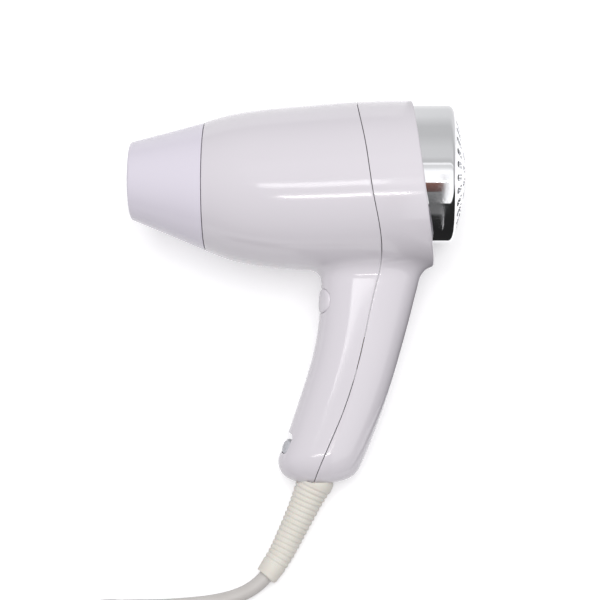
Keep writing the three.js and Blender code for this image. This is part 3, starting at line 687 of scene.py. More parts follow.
def from_barrel(points):
    """Signed distance and outward direction from the barrel's side."""
    centre, radius, slope = [np.interp(points[:, 0], barrel_line[:, 0], column)
                             for column in (barrel_line[:, 1], barrel_line[:, 2], barrel_slope)]
    up, out = points[:, 1] - centre, points[:, 2]
    far = np.hypot(up, out)
    lean = np.sqrt(1 + slope ** 2)
    return (far - radius) / lean, np.stack([-slope, up / far, out / far], axis=1) / lean[:, None]


def from_grip(points):
    """Signed distance and outward direction from the grip; points high on the barrel count as far away."""
    distance = np.full(len(points), 99.0)
    normal = np.tile((0.0, 0.0, 1.0), (len(points), 1))
    for i in np.nonzero(points[:, 1] < GRIP[1][0] + FILLET)[0]:
        near, way, _, length = grip_tree.find_nearest(points[i])
        off = Vector(points[i]) - near
        side = -1 if off.dot(way) < -0.5 * length else 1
        distance[i] = length * side
        normal[i] = off * side / length if length > 0.01 else way
    return distance, normal


def settle(points):
    """Moves points on to the barrel and grip, with the corner between them filled by a soft fillet."""
    near_barrel, barrel_way = from_barrel(points)
    near_grip, grip_way = from_grip(points)
    share = np.clip(0.5 + 0.5 * (near_grip - near_barrel) / FILLET, 0, 1)
    depth = near_grip + (near_barrel - near_grip) * share - FILLET * share * (1 - share)
    way = grip_way + (barrel_way - grip_way) * share[:, None]
    slope = np.linalg.norm(way, axis=1)
    return points - (depth / np.maximum(slope, 0.3) ** 2)[:, None] * way


def largest_island(mesh):
    """Drops the closed pockets that the two forms leave inside each other."""
    whole = bmesh.new()
    whole.from_mesh(mesh)
    left, islands = set(whole.verts), []
    while left:
        island, edge_of = set(), [left.pop()]
        while edge_of:
            vert = edge_of.pop()
            island.add(vert)
            for edge in vert.link_edges:
                other = edge.other_vert(vert)
                if other in left:
                    left.discard(other)
                    edge_of.append(other)
        islands.append(island)
    islands.sort(key=len)
    for island in islands[:-1]:
        bmesh.ops.delete(whole, geom=list(island), context="VERTS")
    whole.to_mesh(mesh)
    whole.free()
    return mesh


def form_mesh():
    """One even skin of small quads over the barrel and the grip, in millimetres."""
    body = bmesh.new()
    for vertices, faces in (barrel_skin, grip_skin):
        made = [body.verts.new(co) for co in vertices]
        for face in faces:
            body.faces.new([made[i] for i in face])
    mesh = bpy.data.meshes.new("form")
    body.to_mesh(mesh)
    body.free()
    form = link("form", mesh)
    remesh = form.modifiers.new("even_skin", "REMESH")
    remesh.mode = "VOXEL"
    remesh.voxel_size = SKIN_STEP
    even = worked(form)
    bpy.data.objects.remove(form)
    return largest_island(even)


def relaxed(mesh, rounds=4):
    """Evens out the skin and returns its points, each time back on the form."""
    points = np.array([vertex.co for vertex in mesh.vertices])
    ends = np.array([edge.vertices[:] for edge in mesh.edges])
    count = np.bincount(ends.ravel(), minlength=len(points))[:, None]
    for _ in range(rounds):
        total = np.zeros_like(points)
        np.add.at(total, ends[:, 0], points[ends[:, 1]])
        np.add.at(total, ends[:, 1], points[ends[:, 0]])
        points = settle((points + total / count) / 2)
    return settle(points)


even_skin = form_mesh()
even_skin.vertices.foreach_set("co", relaxed(even_skin).ravel())
seam_line = through([(x, y, 0) for x, y in SEAM], 400)[::-1]


def seam_side(p):
    """How far behind the parting line a point is."""
    line = np.interp(p[:, 1], seam_line[:, 1], seam_line[:, 0])
    ahead = np.interp(p[:, 1] + 1, seam_line[:, 1], seam_line[:, 0])
    return (p[:, 0] - line) / np.hypot(1, ahead - line)


def rear_side(p):
    """How far beyond the slanted rear edge a point is."""
    return (p[:, 0] - REAR_EDGE["x"]) * math.cos(REAR_EDGE["lean"]) + p[:, 1] * math.sin(REAR_EDGE["lean"])


def oblong(across, along, half, high, corner):
    """Distance outside an oblong with rounded corners."""
    a, b = np.abs(across) - half + corner, np.abs(along) - high / 2 + corner
    return np.hypot(np.maximum(a, 0), np.maximum(b, 0)) + np.minimum(np.maximum(a, b), 0) - corner


def outside_trigger(p):
    gap = oblong(p[:, 2], p[:, 1] - TRIGGER["y"], TRIGGER["half"], TRIGGER["high"], TRIGGER["corner"])
    return np.where(p[:, 0] < 22, gap, ELSEWHERE)


def outside_selector(p):
    lean = SELECTOR["lean"]
    along = (p[:, 1] - SELECTOR["y"]) * math.cos(lean) - (p[:, 0] - SELECTOR["x"]) * math.sin(lean)
    gap = oblong(p[:, 2], along, SELECTOR["half"], SELECTOR["slot"], SELECTOR["corner"])
    return np.where((p[:, 0] < 8) & (p[:, 1] < -100), gap, ELSEWHERE)


def outside_screw(p):
    gap = np.hypot(p[:, 1] - SCREW["y"], p[:, 2]) - SCREW["hole"]
    return np.where(p[:, 0] > 24, gap, ELSEWHERE)


def outside_relief(p):
    gap = np.hypot(p[:, 0] - RELIEF_HOLE["x"], p[:, 2]) - RELIEF_HOLE["radius"]
    return np.where(p[:, 1] < -138, gap, ELSEWHERE)


def sliced(skin, field, level, near):
    """Adds a line of edges where a field has a level, moving the corners that nearly meet it."""
    verts = list(skin.verts)
    points = np.array([vert.co for vert in verts])
    value = field(points) - level
    step = 0.01
    slope = np.stack([(field(points + step * np.eye(3)[i]) - field(points - step * np.eye(3)[i])) / (2 * step)
                      for i in range(3)], axis=1)
    close = np.abs(value) < near
    moved = points - (value / np.maximum((slope ** 2).sum(1), 0.2))[:, None] * slope
    for i in np.nonzero(close)[0]:
        verts[i].co = moved[i]
    value[close] = 0
    side = dict(zip(verts, value))
    on_line = [verts[i] for i in np.nonzero(close)[0]]
    for edge in list(skin.edges):
        first, second = edge.verts
        a, b = side[first], side[second]
        if a * b < 0 and abs(a) + abs(b) < 4 * SKIN_STEP:
            _, middle = bmesh.utils.edge_split(edge, first, a / (a - b))
            on_line.append(middle)
    bmesh.ops.connect_verts(skin, verts=on_line)


def trimmed(skin, field, radius, steps=3):
    """Cuts away where a field is below 0 and turns the new edge in by a small radius."""
    depths = [radius * (1 - math.cos(math.pi / 2 * step / steps)) for step in range(steps + 1)]
    for depth in depths:
        sliced(skin, field, depth, 0.005 if depth else 0.2 * SKIN_STEP)
    middles = np.array([face.calc_center_median() for face in skin.faces])
    value = field(middles)
    cut = [face for face, side in zip(list(skin.faces), value) if side < 0]
    bmesh.ops.delete(skin, geom=cut, context="FACES")
    skin.normal_update()
    verts = list(skin.verts)
    points = np.array([vert.co for vert in verts])
    inside = np.clip(field(points), 0, radius)
    sunk = radius - np.sqrt(radius ** 2 - (radius - inside) ** 2)
    for vert, drop in zip(verts, sunk):
        if drop > 0:
            vert.co -= vert.normal * drop


def housing_half(name, fields, end_wall):
    """One housing: the form trimmed by its edges and openings, then given its wall."""
    skin = bmesh.new()
    skin.from_mesh(even_skin)
    for field, radius in fields:
        trimmed(skin, field, radius)
    if end_wall:
        rim = [edge for edge in skin.edges if edge.is_boundary
               and max(abs(rear_side(np.array([vert.co for vert in edge.verts])))) < 0.02]
        ring = bmesh.ops.extrude_edge_only(skin, edges=rim)["geom"]
        for vert in (item for item in ring if isinstance(item, bmesh.types.BMVert)):
            way = Vector((vert.co.y - CAP_Y, vert.co.z)).normalized() * CAP_HOLE
            y = CAP_Y + way.x
            x = REAR_EDGE["x"] - y * math.tan(REAR_EDGE["lean"])
            vert.co = (x, y, way.y)
    mesh = bpy.data.meshes.new(name)
    skin.to_mesh(mesh)
    skin.free()
    half = link(name + "_skin", mesh)
    wall = half.modifiers.new("wall", "SOLIDIFY")
    wall.thickness = WALL
    wall.offset = -1
    solid = worked(half)
    bpy.data.objects.remove(half)
    solid.name = name
    solid.transform(handset)
    solid.shade_smooth()
    solid.set_sharp_from_angle(angle=math.radians(38))
    solid.materials.clear()
    solid.materials.append(shell_finish)
    return link(name, solid)


EDGE = 0.28
front = housing_half("front_moulding", [
    (lambda p: p[:, 0] - FRONT_END, EDGE),
    (lambda p: -seam_side(p), EDGE),
    (outside_trigger, 0.5),
    (outside_selector, 0.5),
    (outside_relief, EDGE),
], False)
rear = housing_half("rear_moulding", [
    (lambda p: seam_side(p) - SEAM_GAP, EDGE),
    (lambda p: -rear_side(p), REAR_EDGE["radius"]),
    (outside_screw, 0.4),
    (outside_relief, EDGE),
], True)
fit(front, "housing", "body_plastic", "front_housing")
fit(rear, "housing", "body_plastic", "rear_housing")

# ---- Nozzle -------------------------------------------------------------------------------
# A plain cone moulded in a slightly bluer white, with a rounded lip, snapped into the front of the
# barrel by a collar. Its axis drops a little towards the barrel.

NOZZLE = {"tip_x": -84.8, "tip_r": 19, "tip_y": 2.2, "root_x": -47.3, "root_r": 31.9, "root_y": -0.7,
          "wall": 3.2, "throat": 16.1, "collar_x": -41, "collar_r": 29.4}
nozzle_finish = finish("cool_white_nozzle", (0.74, 0.705, 0.786), (0.722, 0.687, 0.768), (0.2, 0.27), 16,
                       1500, 0.000005, IOR=1.5, Coat_Weight=0.1, Coat_Roughness=0.1)


def nozzle_share(x):
    return (x - NOZZLE["tip_x"]) / (NOZZLE["root_x"] - NOZZLE["tip_x"])


def nozzle_middle(x):
    return NOZZLE["tip_y"] + (NOZZLE["root_y"] - NOZZLE["tip_y"]) * nozzle_share(x)


def nozzle_radius(x):
    return NOZZLE["tip_r"] + (NOZZLE["root_r"] - NOZZLE["tip_r"]) * nozzle_share(x)


def welded(piece, near):
    """Joins the ends of a turned profile that meet."""
    joined = bmesh.new()
    joined.from_mesh(piece.data)
    bmesh.ops.remove_doubles(joined, verts=joined.verts, dist=near)
    bmesh.ops.recalc_face_normals(joined, faces=joined.faces)
    joined.to_mesh(piece.data)
    joined.free()


tip_x, root_x, collar_x = NOZZLE["tip_x"], NOZZLE["root_x"], NOZZLE["collar_x"]
nozzle_profile = rounded([
    (collar_x, 27.7, 0.2), (-52.5, 27.3, 1), (-64, nozzle_radius(-64) - NOZZLE["wall"], 0.5),
    (tip_x, NOZZLE["throat"], 0.8), (tip_x, NOZZLE["tip_r"] + 0.25, 2.1), (-66, nozzle_radius(-66), 0.5),
    (root_x, NOZZLE["root_r"], 0.3), (root_x, NOZZLE["collar_r"], 0.2), (collar_x, NOZZLE["collar_r"], 0.4),
], True, 8)
nozzle = turned("nozzle_cone", [*nozzle_profile, nozzle_profile[0]], 0, nozzle_finish, 160,
                centre=nozzle_middle)
welded(nozzle, 1e-6)
nozzle.data.set_sharp_from_angle(angle=math.radians(35))
fit(nozzle, "housing", "nozzle_plastic", "nozzle")

# ---- Inlet cap ----------------------------------------------------------------------------
# An ABS cap plated bright, pressed into the rear of the barrel. A fine groove rings its domed face,
# and two rings of radial slots let the air in.

CAP = {"r": 34.3, "wall": 1.5, "rim_x": 76.8, "edge": 3.2, "dome_x": 82.4, "skirt": 8.6, "groove_r": 30.2}
SLOT_RINGS = [(26, 20.5, 28.6), (13, 9, 17)]
SLOT_WIDTH = 3.2

chrome_finish = finish("bright_plating", (0.9, 0.905, 0.92), (0.86, 0.865, 0.88), (0.03, 0.06), 30, 900,
                       0.000002, Metallic=1)


def dome_x(radius):
    return CAP["dome_x"] - (CAP["dome_x"] - CAP["rim_x"]) * (radius / CAP["groove_r"]) ** 2


skirt_x, rim_x = REAR_EDGE["x"] - CAP["skirt"], CAP["rim_x"]
cap_r, groove = CAP["r"], CAP["groove_r"]
dome = [(dome_x(radius), radius) for radius in np.linspace(groove - 0.5, 0, 24)]
hollow = [(x - CAP["wall"], radius) for x, radius in reversed(dome)]
outside = rounded([
    (skirt_x, cap_r, 0), (rim_x - CAP["edge"] - 0.2, cap_r, 0), (rim_x, cap_r, CAP["edge"]),
    (rim_x, groove + 0.5, 0.25), (rim_x - 0.5, groove, 0.15), (dome[0][0], groove - 0.5, 0)], steps=10)
inner_r = cap_r - CAP["wall"]
inside = rounded([(*hollow[-1], 0), (rim_x - CAP["wall"], inner_r, 2.7), (skirt_x, inner_r, 0),
                  (skirt_x, cap_r, 0)], steps=6)
cap_profile = [*outside[:-1], *dome, *hollow, *inside[1:]]
cap_source = turned("cap_blank", cap_profile, CAP_Y, chrome_finish, 180, Matrix.Identity(4))
welded(cap_source, 1e-4)

cap_tree = Tree("slotted_cap", Outer_Slots=SLOT_RINGS[0][0], Inner_Slots=SLOT_RINGS[1][0],
                Slot_Width=SLOT_WIDTH, Cap_Y=CAP_Y, Finish=chrome_finish)
given = cap_tree.given
cutters = []
for title, (_, inner, outer) in zip(("Outer_Slots", "Inner_Slots"), SLOT_RINGS):
    ring = cap_tree.add("GeometryNodeMeshCircle", Vertices=given[title], Radius=1.0)[0]
    half = cap_tree.math("DIVIDE", given["Slot_Width"], 2.0)
    outline = cap_tree.add("GeometryNodeCurvePrimitiveQuadrilateral", Width=outer - inner,
                           Height=given["Slot_Width"])[0]
    soft = cap_tree.add("GeometryNodeFilletCurve", {"mode": "POLY"}, Curve=outline, Count=5,
                        Radius=cap_tree.math("MULTIPLY", half, 0.96))[0]
    sheet = cap_tree.add("GeometryNodeFillCurve", _0=soft)[0]
    slab = cap_tree.add("GeometryNodeExtrudeMesh", Mesh=sheet, Offset_Scale=30.0, Individual=False)[0]
    base = cap_tree.add("GeometryNodeFlipFaces", Mesh=sheet)[0]
    block = cap_tree.add("GeometryNodeMergeByDistance",
                         Geometry=cap_tree.add("GeometryNodeJoinGeometry", Geometry=[slab, base])[0])[0]
    upright = cap_tree.add("GeometryNodeTransform", Geometry=block,
                           Translation=((outer + inner) / 2, 0, 0))[0]
    cutter = cap_tree.add("GeometryNodeTransform", Geometry=upright, Translation=(60, 0, 0),
                          Rotation=(math.pi / 2, 0, math.pi / 2))[0]
    middle = cap_tree.vector(0.0, given["Cap_Y"])
    spread = cap_tree.add("GeometryNodeSetPosition", Geometry=ring, Position=middle)[0]
    cutters.append(cap_tree.add("GeometryNodeInstanceOnPoints", Points=spread, Instance=cutter,
                                Rotation=cap_tree.vector(cap_tree.fanned(given[title])))[0])
both = cap_tree.add("GeometryNodeRealizeInstances",
                    Geometry=cap_tree.add("GeometryNodeJoinGeometry", Geometry=cutters)[0])[0]
cut = cap_tree.add("GeometryNodeMeshBoolean", {"operation": "DIFFERENCE", "solver": "EXACT"},
                   _0=cap_tree.group.nodes[0].outputs[0], _1=both)[0]
cap = cap_tree.grown("plated_cap", cut, cap_source.data)
bpy.data.objects.remove(cap_source)
fit(cap, "housing", "plated_cap", "inlet_cap")

# ---- Trigger ------------------------------------------------------------------------------
# A button moulded in the shell's plastic, proud of the grip's front and domed like it, with a flange
# that keeps it in. A wound steel spring pushes it out from a snap-action switch.

BUTTON = {"proud": 0.9, "back": 17.7, "edge": 1.1, "flange": 1.3, "flange_out": 1.8}
BUTTON_RINGS = 14
FURROW = {"deep": 0.35, "reach": 0.8}
ABOVE_GRIP = 30


def outline(half, high, corner, steps=8):
    """An oblong with rounded corners, across and along."""
    points = rounded([(-half, -high / 2, corner), (half, -high / 2, corner), (half, high / 2, corner),
                      (-half, high / 2, corner)], True, steps)
    return [Vector(point) for point in points]


def onto_grip(origin, across, along, inward):
    """Depth of the grip's surface behind each point of a face: where a straight line first meets it."""
    def depth(a, b):
        start = origin + across * a + along * b - inward * ABOVE_GRIP
        hit = grip_tree.ray_cast(start, inward)[3]
        return (ABOVE_GRIP if hit is None else hit) - ABOVE_GRIP
    return depth


def button(name, edge_line, origin, across, along, inward, sizes, material, furrows=0):
    """A domed button: rings from its middle out to a rounded edge, straight sides and a flange."""
    depth = onto_grip(origin, across, along, inward)
    widest = max(point.length for point in edge_line)
    rings = []

    def add(scale, grow, drop, flat=None, stretch=0):
        ring = []
        for point in edge_line:
            spot = point * scale + point.normalized() * grow + Vector((0, math.copysign(stretch, point.y)))
            down = depth(spot.x, spot.y) - sizes["proud"] + drop if flat is None else flat
            if furrows and flat is None and scale < FURROW["reach"]:
                down += FURROW["deep"] * max(0, math.sin(spot.y * furrows)) ** 2
            ring.append(origin + across * spot.x + along * spot.y + inward * down)
        rings.append(ring)

    edge = sizes["edge"]
    inner = 1 - edge / widest
    for step in range(1, BUTTON_RINGS):
        add(inner * step / (BUTTON_RINGS - 1), 0, 0)
    for step in range(1, 6):
        turn = math.pi / 2 * step / 5
        add(inner, edge * math.sin(turn) * (1 - inner) * widest / edge, edge * (1 - math.cos(turn)))
    if "under" in sizes:
        under = sizes["proud"] + sizes["under"]
        add(1, 0, under)
        add(1, 0, under, None, sizes["flange_out"])
        add(1, 0, under + sizes["flange"], None, sizes["flange_out"])
    else:
        back = sizes["back"]
        add(1, 0, 0, back)
        add(1, sizes["flange_out"], 0, back)
        add(1, sizes["flange_out"], 0, back + sizes["flange"])
    return skinned(name, rings, material)


trigger_edge = outline(TRIGGER["half"] - 0.35, TRIGGER["high"] - 0.7, TRIGGER["corner"] - 0.3)
trigger = button("push_button", trigger_edge, Y_WAY * TRIGGER["y"], Z_WAY, Y_WAY, X_WAY, BUTTON, shell_finish)
fit(trigger, "trigger", "body_plastic", "trigger_button")

steel_finish = finish("zinc_steel", (0.62, 0.62, 0.63), (0.5, 0.5, 0.52), (0.22, 0.42), 250, 3500, 0.000008,
                      Metallic=1)
black_finish = finish("black_heat_plastic", (0.045, 0.045, 0.048), (0.03, 0.03, 0.033), (0.42, 0.6), 120,
                      2600)


def helix(x0, x1, radius, turns, axis_y, steps=20):
    """Points wound round a line along X."""
    count = int(turns * steps)
    points = []
    for i in range(count + 1):
        x, angle = x0 + (x1 - x0) * i / count, 2 * math.pi * i / steps
        points.append((x, axis_y + radius * math.cos(angle), radius * math.sin(angle)))
    return points


def solid_line(name, points, diameter, material):
    """A wire along a line of points as a plain mesh."""
    curve = line_of(name + "_line", points, diameter, material, round_steps=3)
    mesh = worked(curve)
    bpy.data.objects.remove(curve)
    mesh.shade_smooth()
    return link(name, mesh)


SPRING = {"from": 19.4, "to": 23.9, "radius": 2.5, "turns": 5.5, "wire": 0.6}
spring = solid_line("wound_spring", helix(SPRING["from"], SPRING["to"], SPRING["radius"], SPRING["turns"],
                                          TRIGGER["y"]), SPRING["wire"], steel_finish)
fit(spring, "housing", "steel", "trigger_spring")
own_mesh(spring)

# ---- Selector -----------------------------------------------------------------------------
# A blue-grey slide knob with a furrowed face. It runs in the upper or lower part of its slot in the
# front of the grip, and its flange hides the slot's inside.

SLIDE = {"proud": 0.15, "under": 2.6, "edge": 0.7, "flange": 1.0, "flange_out": 4.3}
KNOB = {"half": 8.9, "high": 6.6, "corner": 1.7, "furrow": 1.7}
lean = SELECTOR["lean"]
slide_along = Vector((-math.sin(lean), math.cos(lean), 0))
slide_in = Vector((math.cos(lean), math.sin(lean), 0))
slot_at = Vector((SELECTOR["x"], SELECTOR["y"], 0))
knob_at = slot_at + slide_along * (-SELECTOR["slot"] / 2 + SEAM_GAP + KNOB["high"] / 2)
knob_edge = outline(KNOB["half"], KNOB["high"] - 0.1, KNOB["corner"])
knob_finish = finish("blue_grey_knob", (0.56, 0.57, 0.6), (0.52, 0.53, 0.56), (0.3, 0.42), 150, 2600)
knob = button("slide_knob", knob_edge, knob_at, Z_WAY, slide_along, slide_in, SLIDE, knob_finish,
              furrows=2 * math.pi / KNOB["furrow"])
fit(knob, "selector", "selector_plastic", "selector_knob")

# ---- Outlet grille ------------------------------------------------------------------------
# A black heat-resisting guard across the nozzle: two rings and eight spokes with rounded edges.

GRILLE = {"x": -63, "thick": 2.0, "ring": 1.8, "bar": 1.4, "inner_r": 10.7}
grille_low, grille_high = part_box("outlet_grille")
grille_r = (grille_high.z - grille_low.z) / 2 / MM - GRILLE["ring"] / 2
grille_y = nozzle_middle(GRILLE["x"] - 1)
grille_tree = Tree("grille", Bars=4, Bar=GRILLE["bar"], Ring=GRILLE["ring"], Thick=GRILLE["thick"],
                   Outer=grille_r, Inner=GRILLE["inner_r"], Finish=black_finish)
given = grille_tree.given


def rounded_strip(tree, wide, high, corner=0.4):
    box = tree.add("GeometryNodeCurvePrimitiveQuadrilateral", Width=wide, Height=high)[0]
    return tree.add("GeometryNodeFilletCurve", {"mode": "POLY"}, Curve=box, Count=3, Radius=corner)[0]


def across_barrel(x, y):
    """Stands a flat shape across the barrel."""
    return handset @ Matrix.Translation((x, y, 0)) @ Matrix.Rotation(math.pi / 2, 4, "Y")


parts = []
for title in ("Outer", "Inner"):
    hoop = grille_tree.add("GeometryNodeCurvePrimitiveCircle", Resolution=96, Radius=given[title])[0]
    strip = rounded_strip(grille_tree, given["Ring"], given["Thick"])
    parts.append(grille_tree.add("GeometryNodeCurveToMesh", Curve=hoop, Profile_Curve=strip)[0])
rail = grille_tree.add("GeometryNodeCurvePrimitiveLine", Start=(-grille_r, 0, 0), End=(grille_r, 0, 0))[0]
bar = grille_tree.add("GeometryNodeCurveToMesh", Curve=rail, Fill_Caps=True,
                      Profile_Curve=rounded_strip(grille_tree, given["Bar"], given["Thick"]))[0]
parts.append(grille_tree.spun(bar, given["Bars"], math.pi))
grille_all = grille_tree.add("GeometryNodeJoinGeometry", Geometry=parts)[0]
grille = grille_tree.grown("outlet_guard", grille_all, place=across_barrel(GRILLE["x"], grille_y))
fit(grille, "housing", "black_plastic", "outlet_grille")

# ---- Heater -------------------------------------------------------------------------------
# Four rings of coiled resistance wire strung on notched mica boards inside a mica tube, with a
# bimetal thermostat and a thermal fuse.

COIL_XS = (-29, -19.7, -10.3, -1)
HEAT = {"ring": 19.6, "wind": 1.3, "wire": 0.55, "winds": 76}
mica_finish = finish("mica", (0.62, 0.53, 0.33), (0.5, 0.4, 0.22), (0.35, 0.6), 180, 1500, 0.00004,
                     (1, 2.5, 1))
wire_finish = finish("resistance_wire", (0.46, 0.43, 0.4), (0.33, 0.28, 0.25), (0.3, 0.5), 300, 3000,
                     0.000005, Metallic=1)
ring_tree = Tree("heating_coil", Turns=HEAT["winds"], Ring=HEAT["ring"], Wind=HEAT["wind"],
                 Wire=HEAT["wire"] / 2, Finish=wire_finish)
given = ring_tree.given
base = ring_tree.add("GeometryNodeCurvePrimitiveCircle", Resolution=HEAT["winds"] * 9, Radius=1.0)[0]
share = ring_tree.add("GeometryNodeSplineParameter")["Factor"]
round_turn = ring_tree.math("MULTIPLY", share, 2 * math.pi)
wind_turn = ring_tree.math("MULTIPLY", round_turn, given["Turns"])


def swung(way, turn, reach):
    return ring_tree.math("MULTIPLY", ring_tree.math(way, turn), reach)


out = ring_tree.math("ADD", given["Ring"], swung("COSINE", wind_turn, given["Wind"]))
spot = ring_tree.vector(swung("COSINE", round_turn, out), swung("SINE", round_turn, out),
                        swung("SINE", wind_turn, given["Wind"]))
wound = ring_tree.add("GeometryNodeSetPosition", Geometry=base, Position=spot)[0]
thread = ring_tree.add("GeometryNodeCurvePrimitiveCircle", Resolution=6, Radius=given["Wire"])[0]
coil_mesh = ring_tree.add("GeometryNodeCurveToMesh", Curve=wound, Profile_Curve=thread)[0]
first_coil = ring_tree.grown("wound_coil_1", coil_mesh, place=across_barrel(COIL_XS[0], AIR_Y))
coils = [first_coil]
for number, x in enumerate(COIL_XS[1:], 2):
    coil = link(f"wound_coil_{number}", first_coil.data.copy())
    coil.data.transform(Matrix.Translation(((x - COIL_XS[0]) * MM, 0, 0)))
    coils.append(coil)
for number, coil in enumerate(coils, 1):
    fit(coil, "housing", "heater_wire", f"heating_coil_{number}")

# ---- Inlet filter -------------------------------------------------------------------------
# A black screen of fine moulded threads behind the slots, in a round frame.

FILTER = {"x": 71.4, "radius": 32.3, "frame": 0.8, "thread": 0.22, "pitch": 1.5}
rows_each_way = 2 * int(FILTER["radius"] / FILTER["pitch"]) + 1
filter_tree = Tree("filter_screen", Rows=rows_each_way, Pitch=FILTER["pitch"],
                   Radius=FILTER["radius"] - FILTER["frame"] / 2, Thread=FILTER["thread"],
                   Frame=FILTER["frame"] / 2, Finish=black_finish)
given = filter_tree.given
rail = filter_tree.add("GeometryNodeCurvePrimitiveLine", Start=(-1, 0, 0), End=(1, 0, 0))[0]
thread = filter_tree.add("GeometryNodeCurvePrimitiveCircle", Resolution=5, Radius=given["Thread"])[0]
strand = filter_tree.add("GeometryNodeCurveToMesh", Curve=rail, Profile_Curve=thread)[0]
index = filter_tree.add("GeometryNodeInputIndex")[0]
middle_row = filter_tree.math("DIVIDE", filter_tree.math("SUBTRACT", given["Rows"], 1.0), 2.0)
across = filter_tree.math("MULTIPLY", filter_tree.math("SUBTRACT", index, middle_row), given["Pitch"])
radius_squared = filter_tree.math("MULTIPLY", given["Radius"], given["Radius"])
across_squared = filter_tree.math("MULTIPLY", across, across)
chord = filter_tree.math("SQRT", filter_tree.math("SUBTRACT", radius_squared, across_squared))
row = filter_tree.add("GeometryNodeMeshLine", Count=given["Rows"], Offset=(0, 0, 0))[0]
row = filter_tree.add("GeometryNodeSetPosition", Geometry=row, Position=filter_tree.vector(0.0, across))[0]
strands = filter_tree.add("GeometryNodeInstanceOnPoints", Points=row, Instance=strand,
                          Scale=filter_tree.vector(chord, 1.0, 1.0))[0]
weft = filter_tree.add("GeometryNodeRealizeInstances", Geometry=strands)[0]
warp = filter_tree.add("GeometryNodeTransform", Geometry=weft, Rotation=(0, 0, math.pi / 2),
                       Translation=(0, 0, 1.5 * FILTER["thread"]))[0]
hoop = filter_tree.add("GeometryNodeCurvePrimitiveCircle", Resolution=96, Radius=given["Radius"])[0]
frame_round = filter_tree.add("GeometryNodeCurvePrimitiveCircle", Resolution=8, Radius=given["Frame"])[0]
hoop = filter_tree.add("GeometryNodeCurveToMesh", Curve=hoop, Profile_Curve=frame_round)[0]
screen = filter_tree.add("GeometryNodeJoinGeometry", Geometry=[weft, warp, hoop])[0]
screen = filter_tree.grown("filter_screen", screen, place=across_barrel(FILTER["x"], CAP_Y))
fit(screen, "housing", "black_plastic", "inlet_filter")

# ---- Blower -------------------------------------------------------------------------------
# A small DC motor held by a rubber ring in the hub of the fan duct. Its shaft carries an axial fan
# with nine twisted blades, and a rectifier board sits on its cold end.

MOTOR = {"x0": 11.3, "x1": 37, "r": 13.8, "bore": 1.5, "shaft": 1.2, "cap_x": 8.6}
ARMATURE = {"x0": 16, "x1": 31, "r": 10.4}
FAN = {"x0": 40.5, "x1": 49, "hub": 9, "tip": 31.6, "bore": 1.25, "blades": 9, "root_pitch": 48,
       "tip_pitch": 30, "chord": 9, "thick": 1.2, "bulge": 0.9}
BLADE_ROWS, BLADE_COLUMNS = 10, 9
BOARD = {"x0": 3, "x1": 4.4, "r": 11}
DIODE = {"x0": 4.7, "x1": 8.3, "r": 1.6, "off": 4.5}


def dress(material, *nodes):
    """Gives carried-over parts their finish."""
    for node in nodes:
        part = bpy.data.objects[node]
        part.data.materials.clear()
        part.data.materials.append(material)


soft_rubber = finish("soft_rubber", (0.05, 0.05, 0.052), (0.035, 0.035, 0.036), (0.6, 0.8), 90, 1800, 0.00003)
dress(black_finish, "fan_duct")
dress(soft_rubber, "motor_mount_ring")


def round_piece(name, corners, axis_y, material, body, slot, *nodes, sides=64):
    """A hollow turned piece with rounded corners."""
    line = rounded(corners, True, 4)
    piece = turned(name, [*line, line[0]], axis_y, material, sides)
    welded(piece, 1e-7)
    fit(piece, body, slot, *nodes)


def rod(x0, x1, radius, edge):
    """The profile of a solid rod with rounded ends."""
    return rounded([(x0, 0, 0), (x0, radius, edge), (x1, radius, edge), (x1, 0, 0)])


x0, x1, can_r, bore = MOTOR["x0"], MOTOR["x1"], MOTOR["r"], MOTOR["bore"]
round_piece("drawn_motor_can", [(x0, can_r - 1.2, 0.1), (x0, can_r, 0.2), (x1, can_r, 1.6), (x1, bore, 0.1),
                                (x1 - 1.5, bore, 0.1), (x1 - 1.5, can_r - 1.2, 0.8)], AIR_Y, steel_finish,
            "housing", "steel", "motor_can")
cap_x = MOTOR["cap_x"]
round_piece("motor_brush_cap", [(cap_x, bore, 0.1), (cap_x, can_r, 0.8), (x0 - SEAM_GAP, can_r, 0.1),
                                (x0 - SEAM_GAP, bore, 0.1)], AIR_Y, black_finish, "housing", "black_plastic",
            "motor_end_cap")
wound_x0, wound_x1, wound_r = ARMATURE["x0"], ARMATURE["x1"], ARMATURE["r"]
round_piece("wound_armature", [(wound_x0, bore, 0.1), (wound_x0, wound_r, 1.5), (wound_x1, wound_r, 1.5),
                               (wound_x1, bore, 0.1)], AIR_Y, steel_finish, "rotor", "steel", "armature")
shaft_line = rod(SHAFT_X0, FAN["x1"] - 0.6, MOTOR["shaft"], 0.3)
fit(turned("ground_shaft", shaft_line, AIR_Y, steel_finish, 32), "rotor", "steel", "motor_shaft")


def blade_point(row, column, side):
    """A point on one face of a blade, a thin aerofoil whose pitch eases from root to tip."""
    out, share = row / (BLADE_ROWS - 1), column / (BLADE_COLUMNS - 1)
    radius = FAN["hub"] - 0.6 + (FAN["tip"] - FAN["hub"] + 0.6) * out
    pitch = math.radians(FAN["root_pitch"] + (FAN["tip_pitch"] - FAN["root_pitch"]) * out)
    run = (share - 0.5) * FAN["chord"]
    half = FAN["thick"] / 2 * (0.25 + 0.75 * math.sin(math.pi * share) ** 0.5)
    lift = FAN["bulge"] * (1 - (2 * share - 1) ** 2) + side * half
    along = run * math.sin(pitch) + lift * math.cos(pitch)
    around = run * math.cos(pitch) - lift * math.sin(pitch)
    return around, math.sqrt(radius ** 2 - around ** 2), along


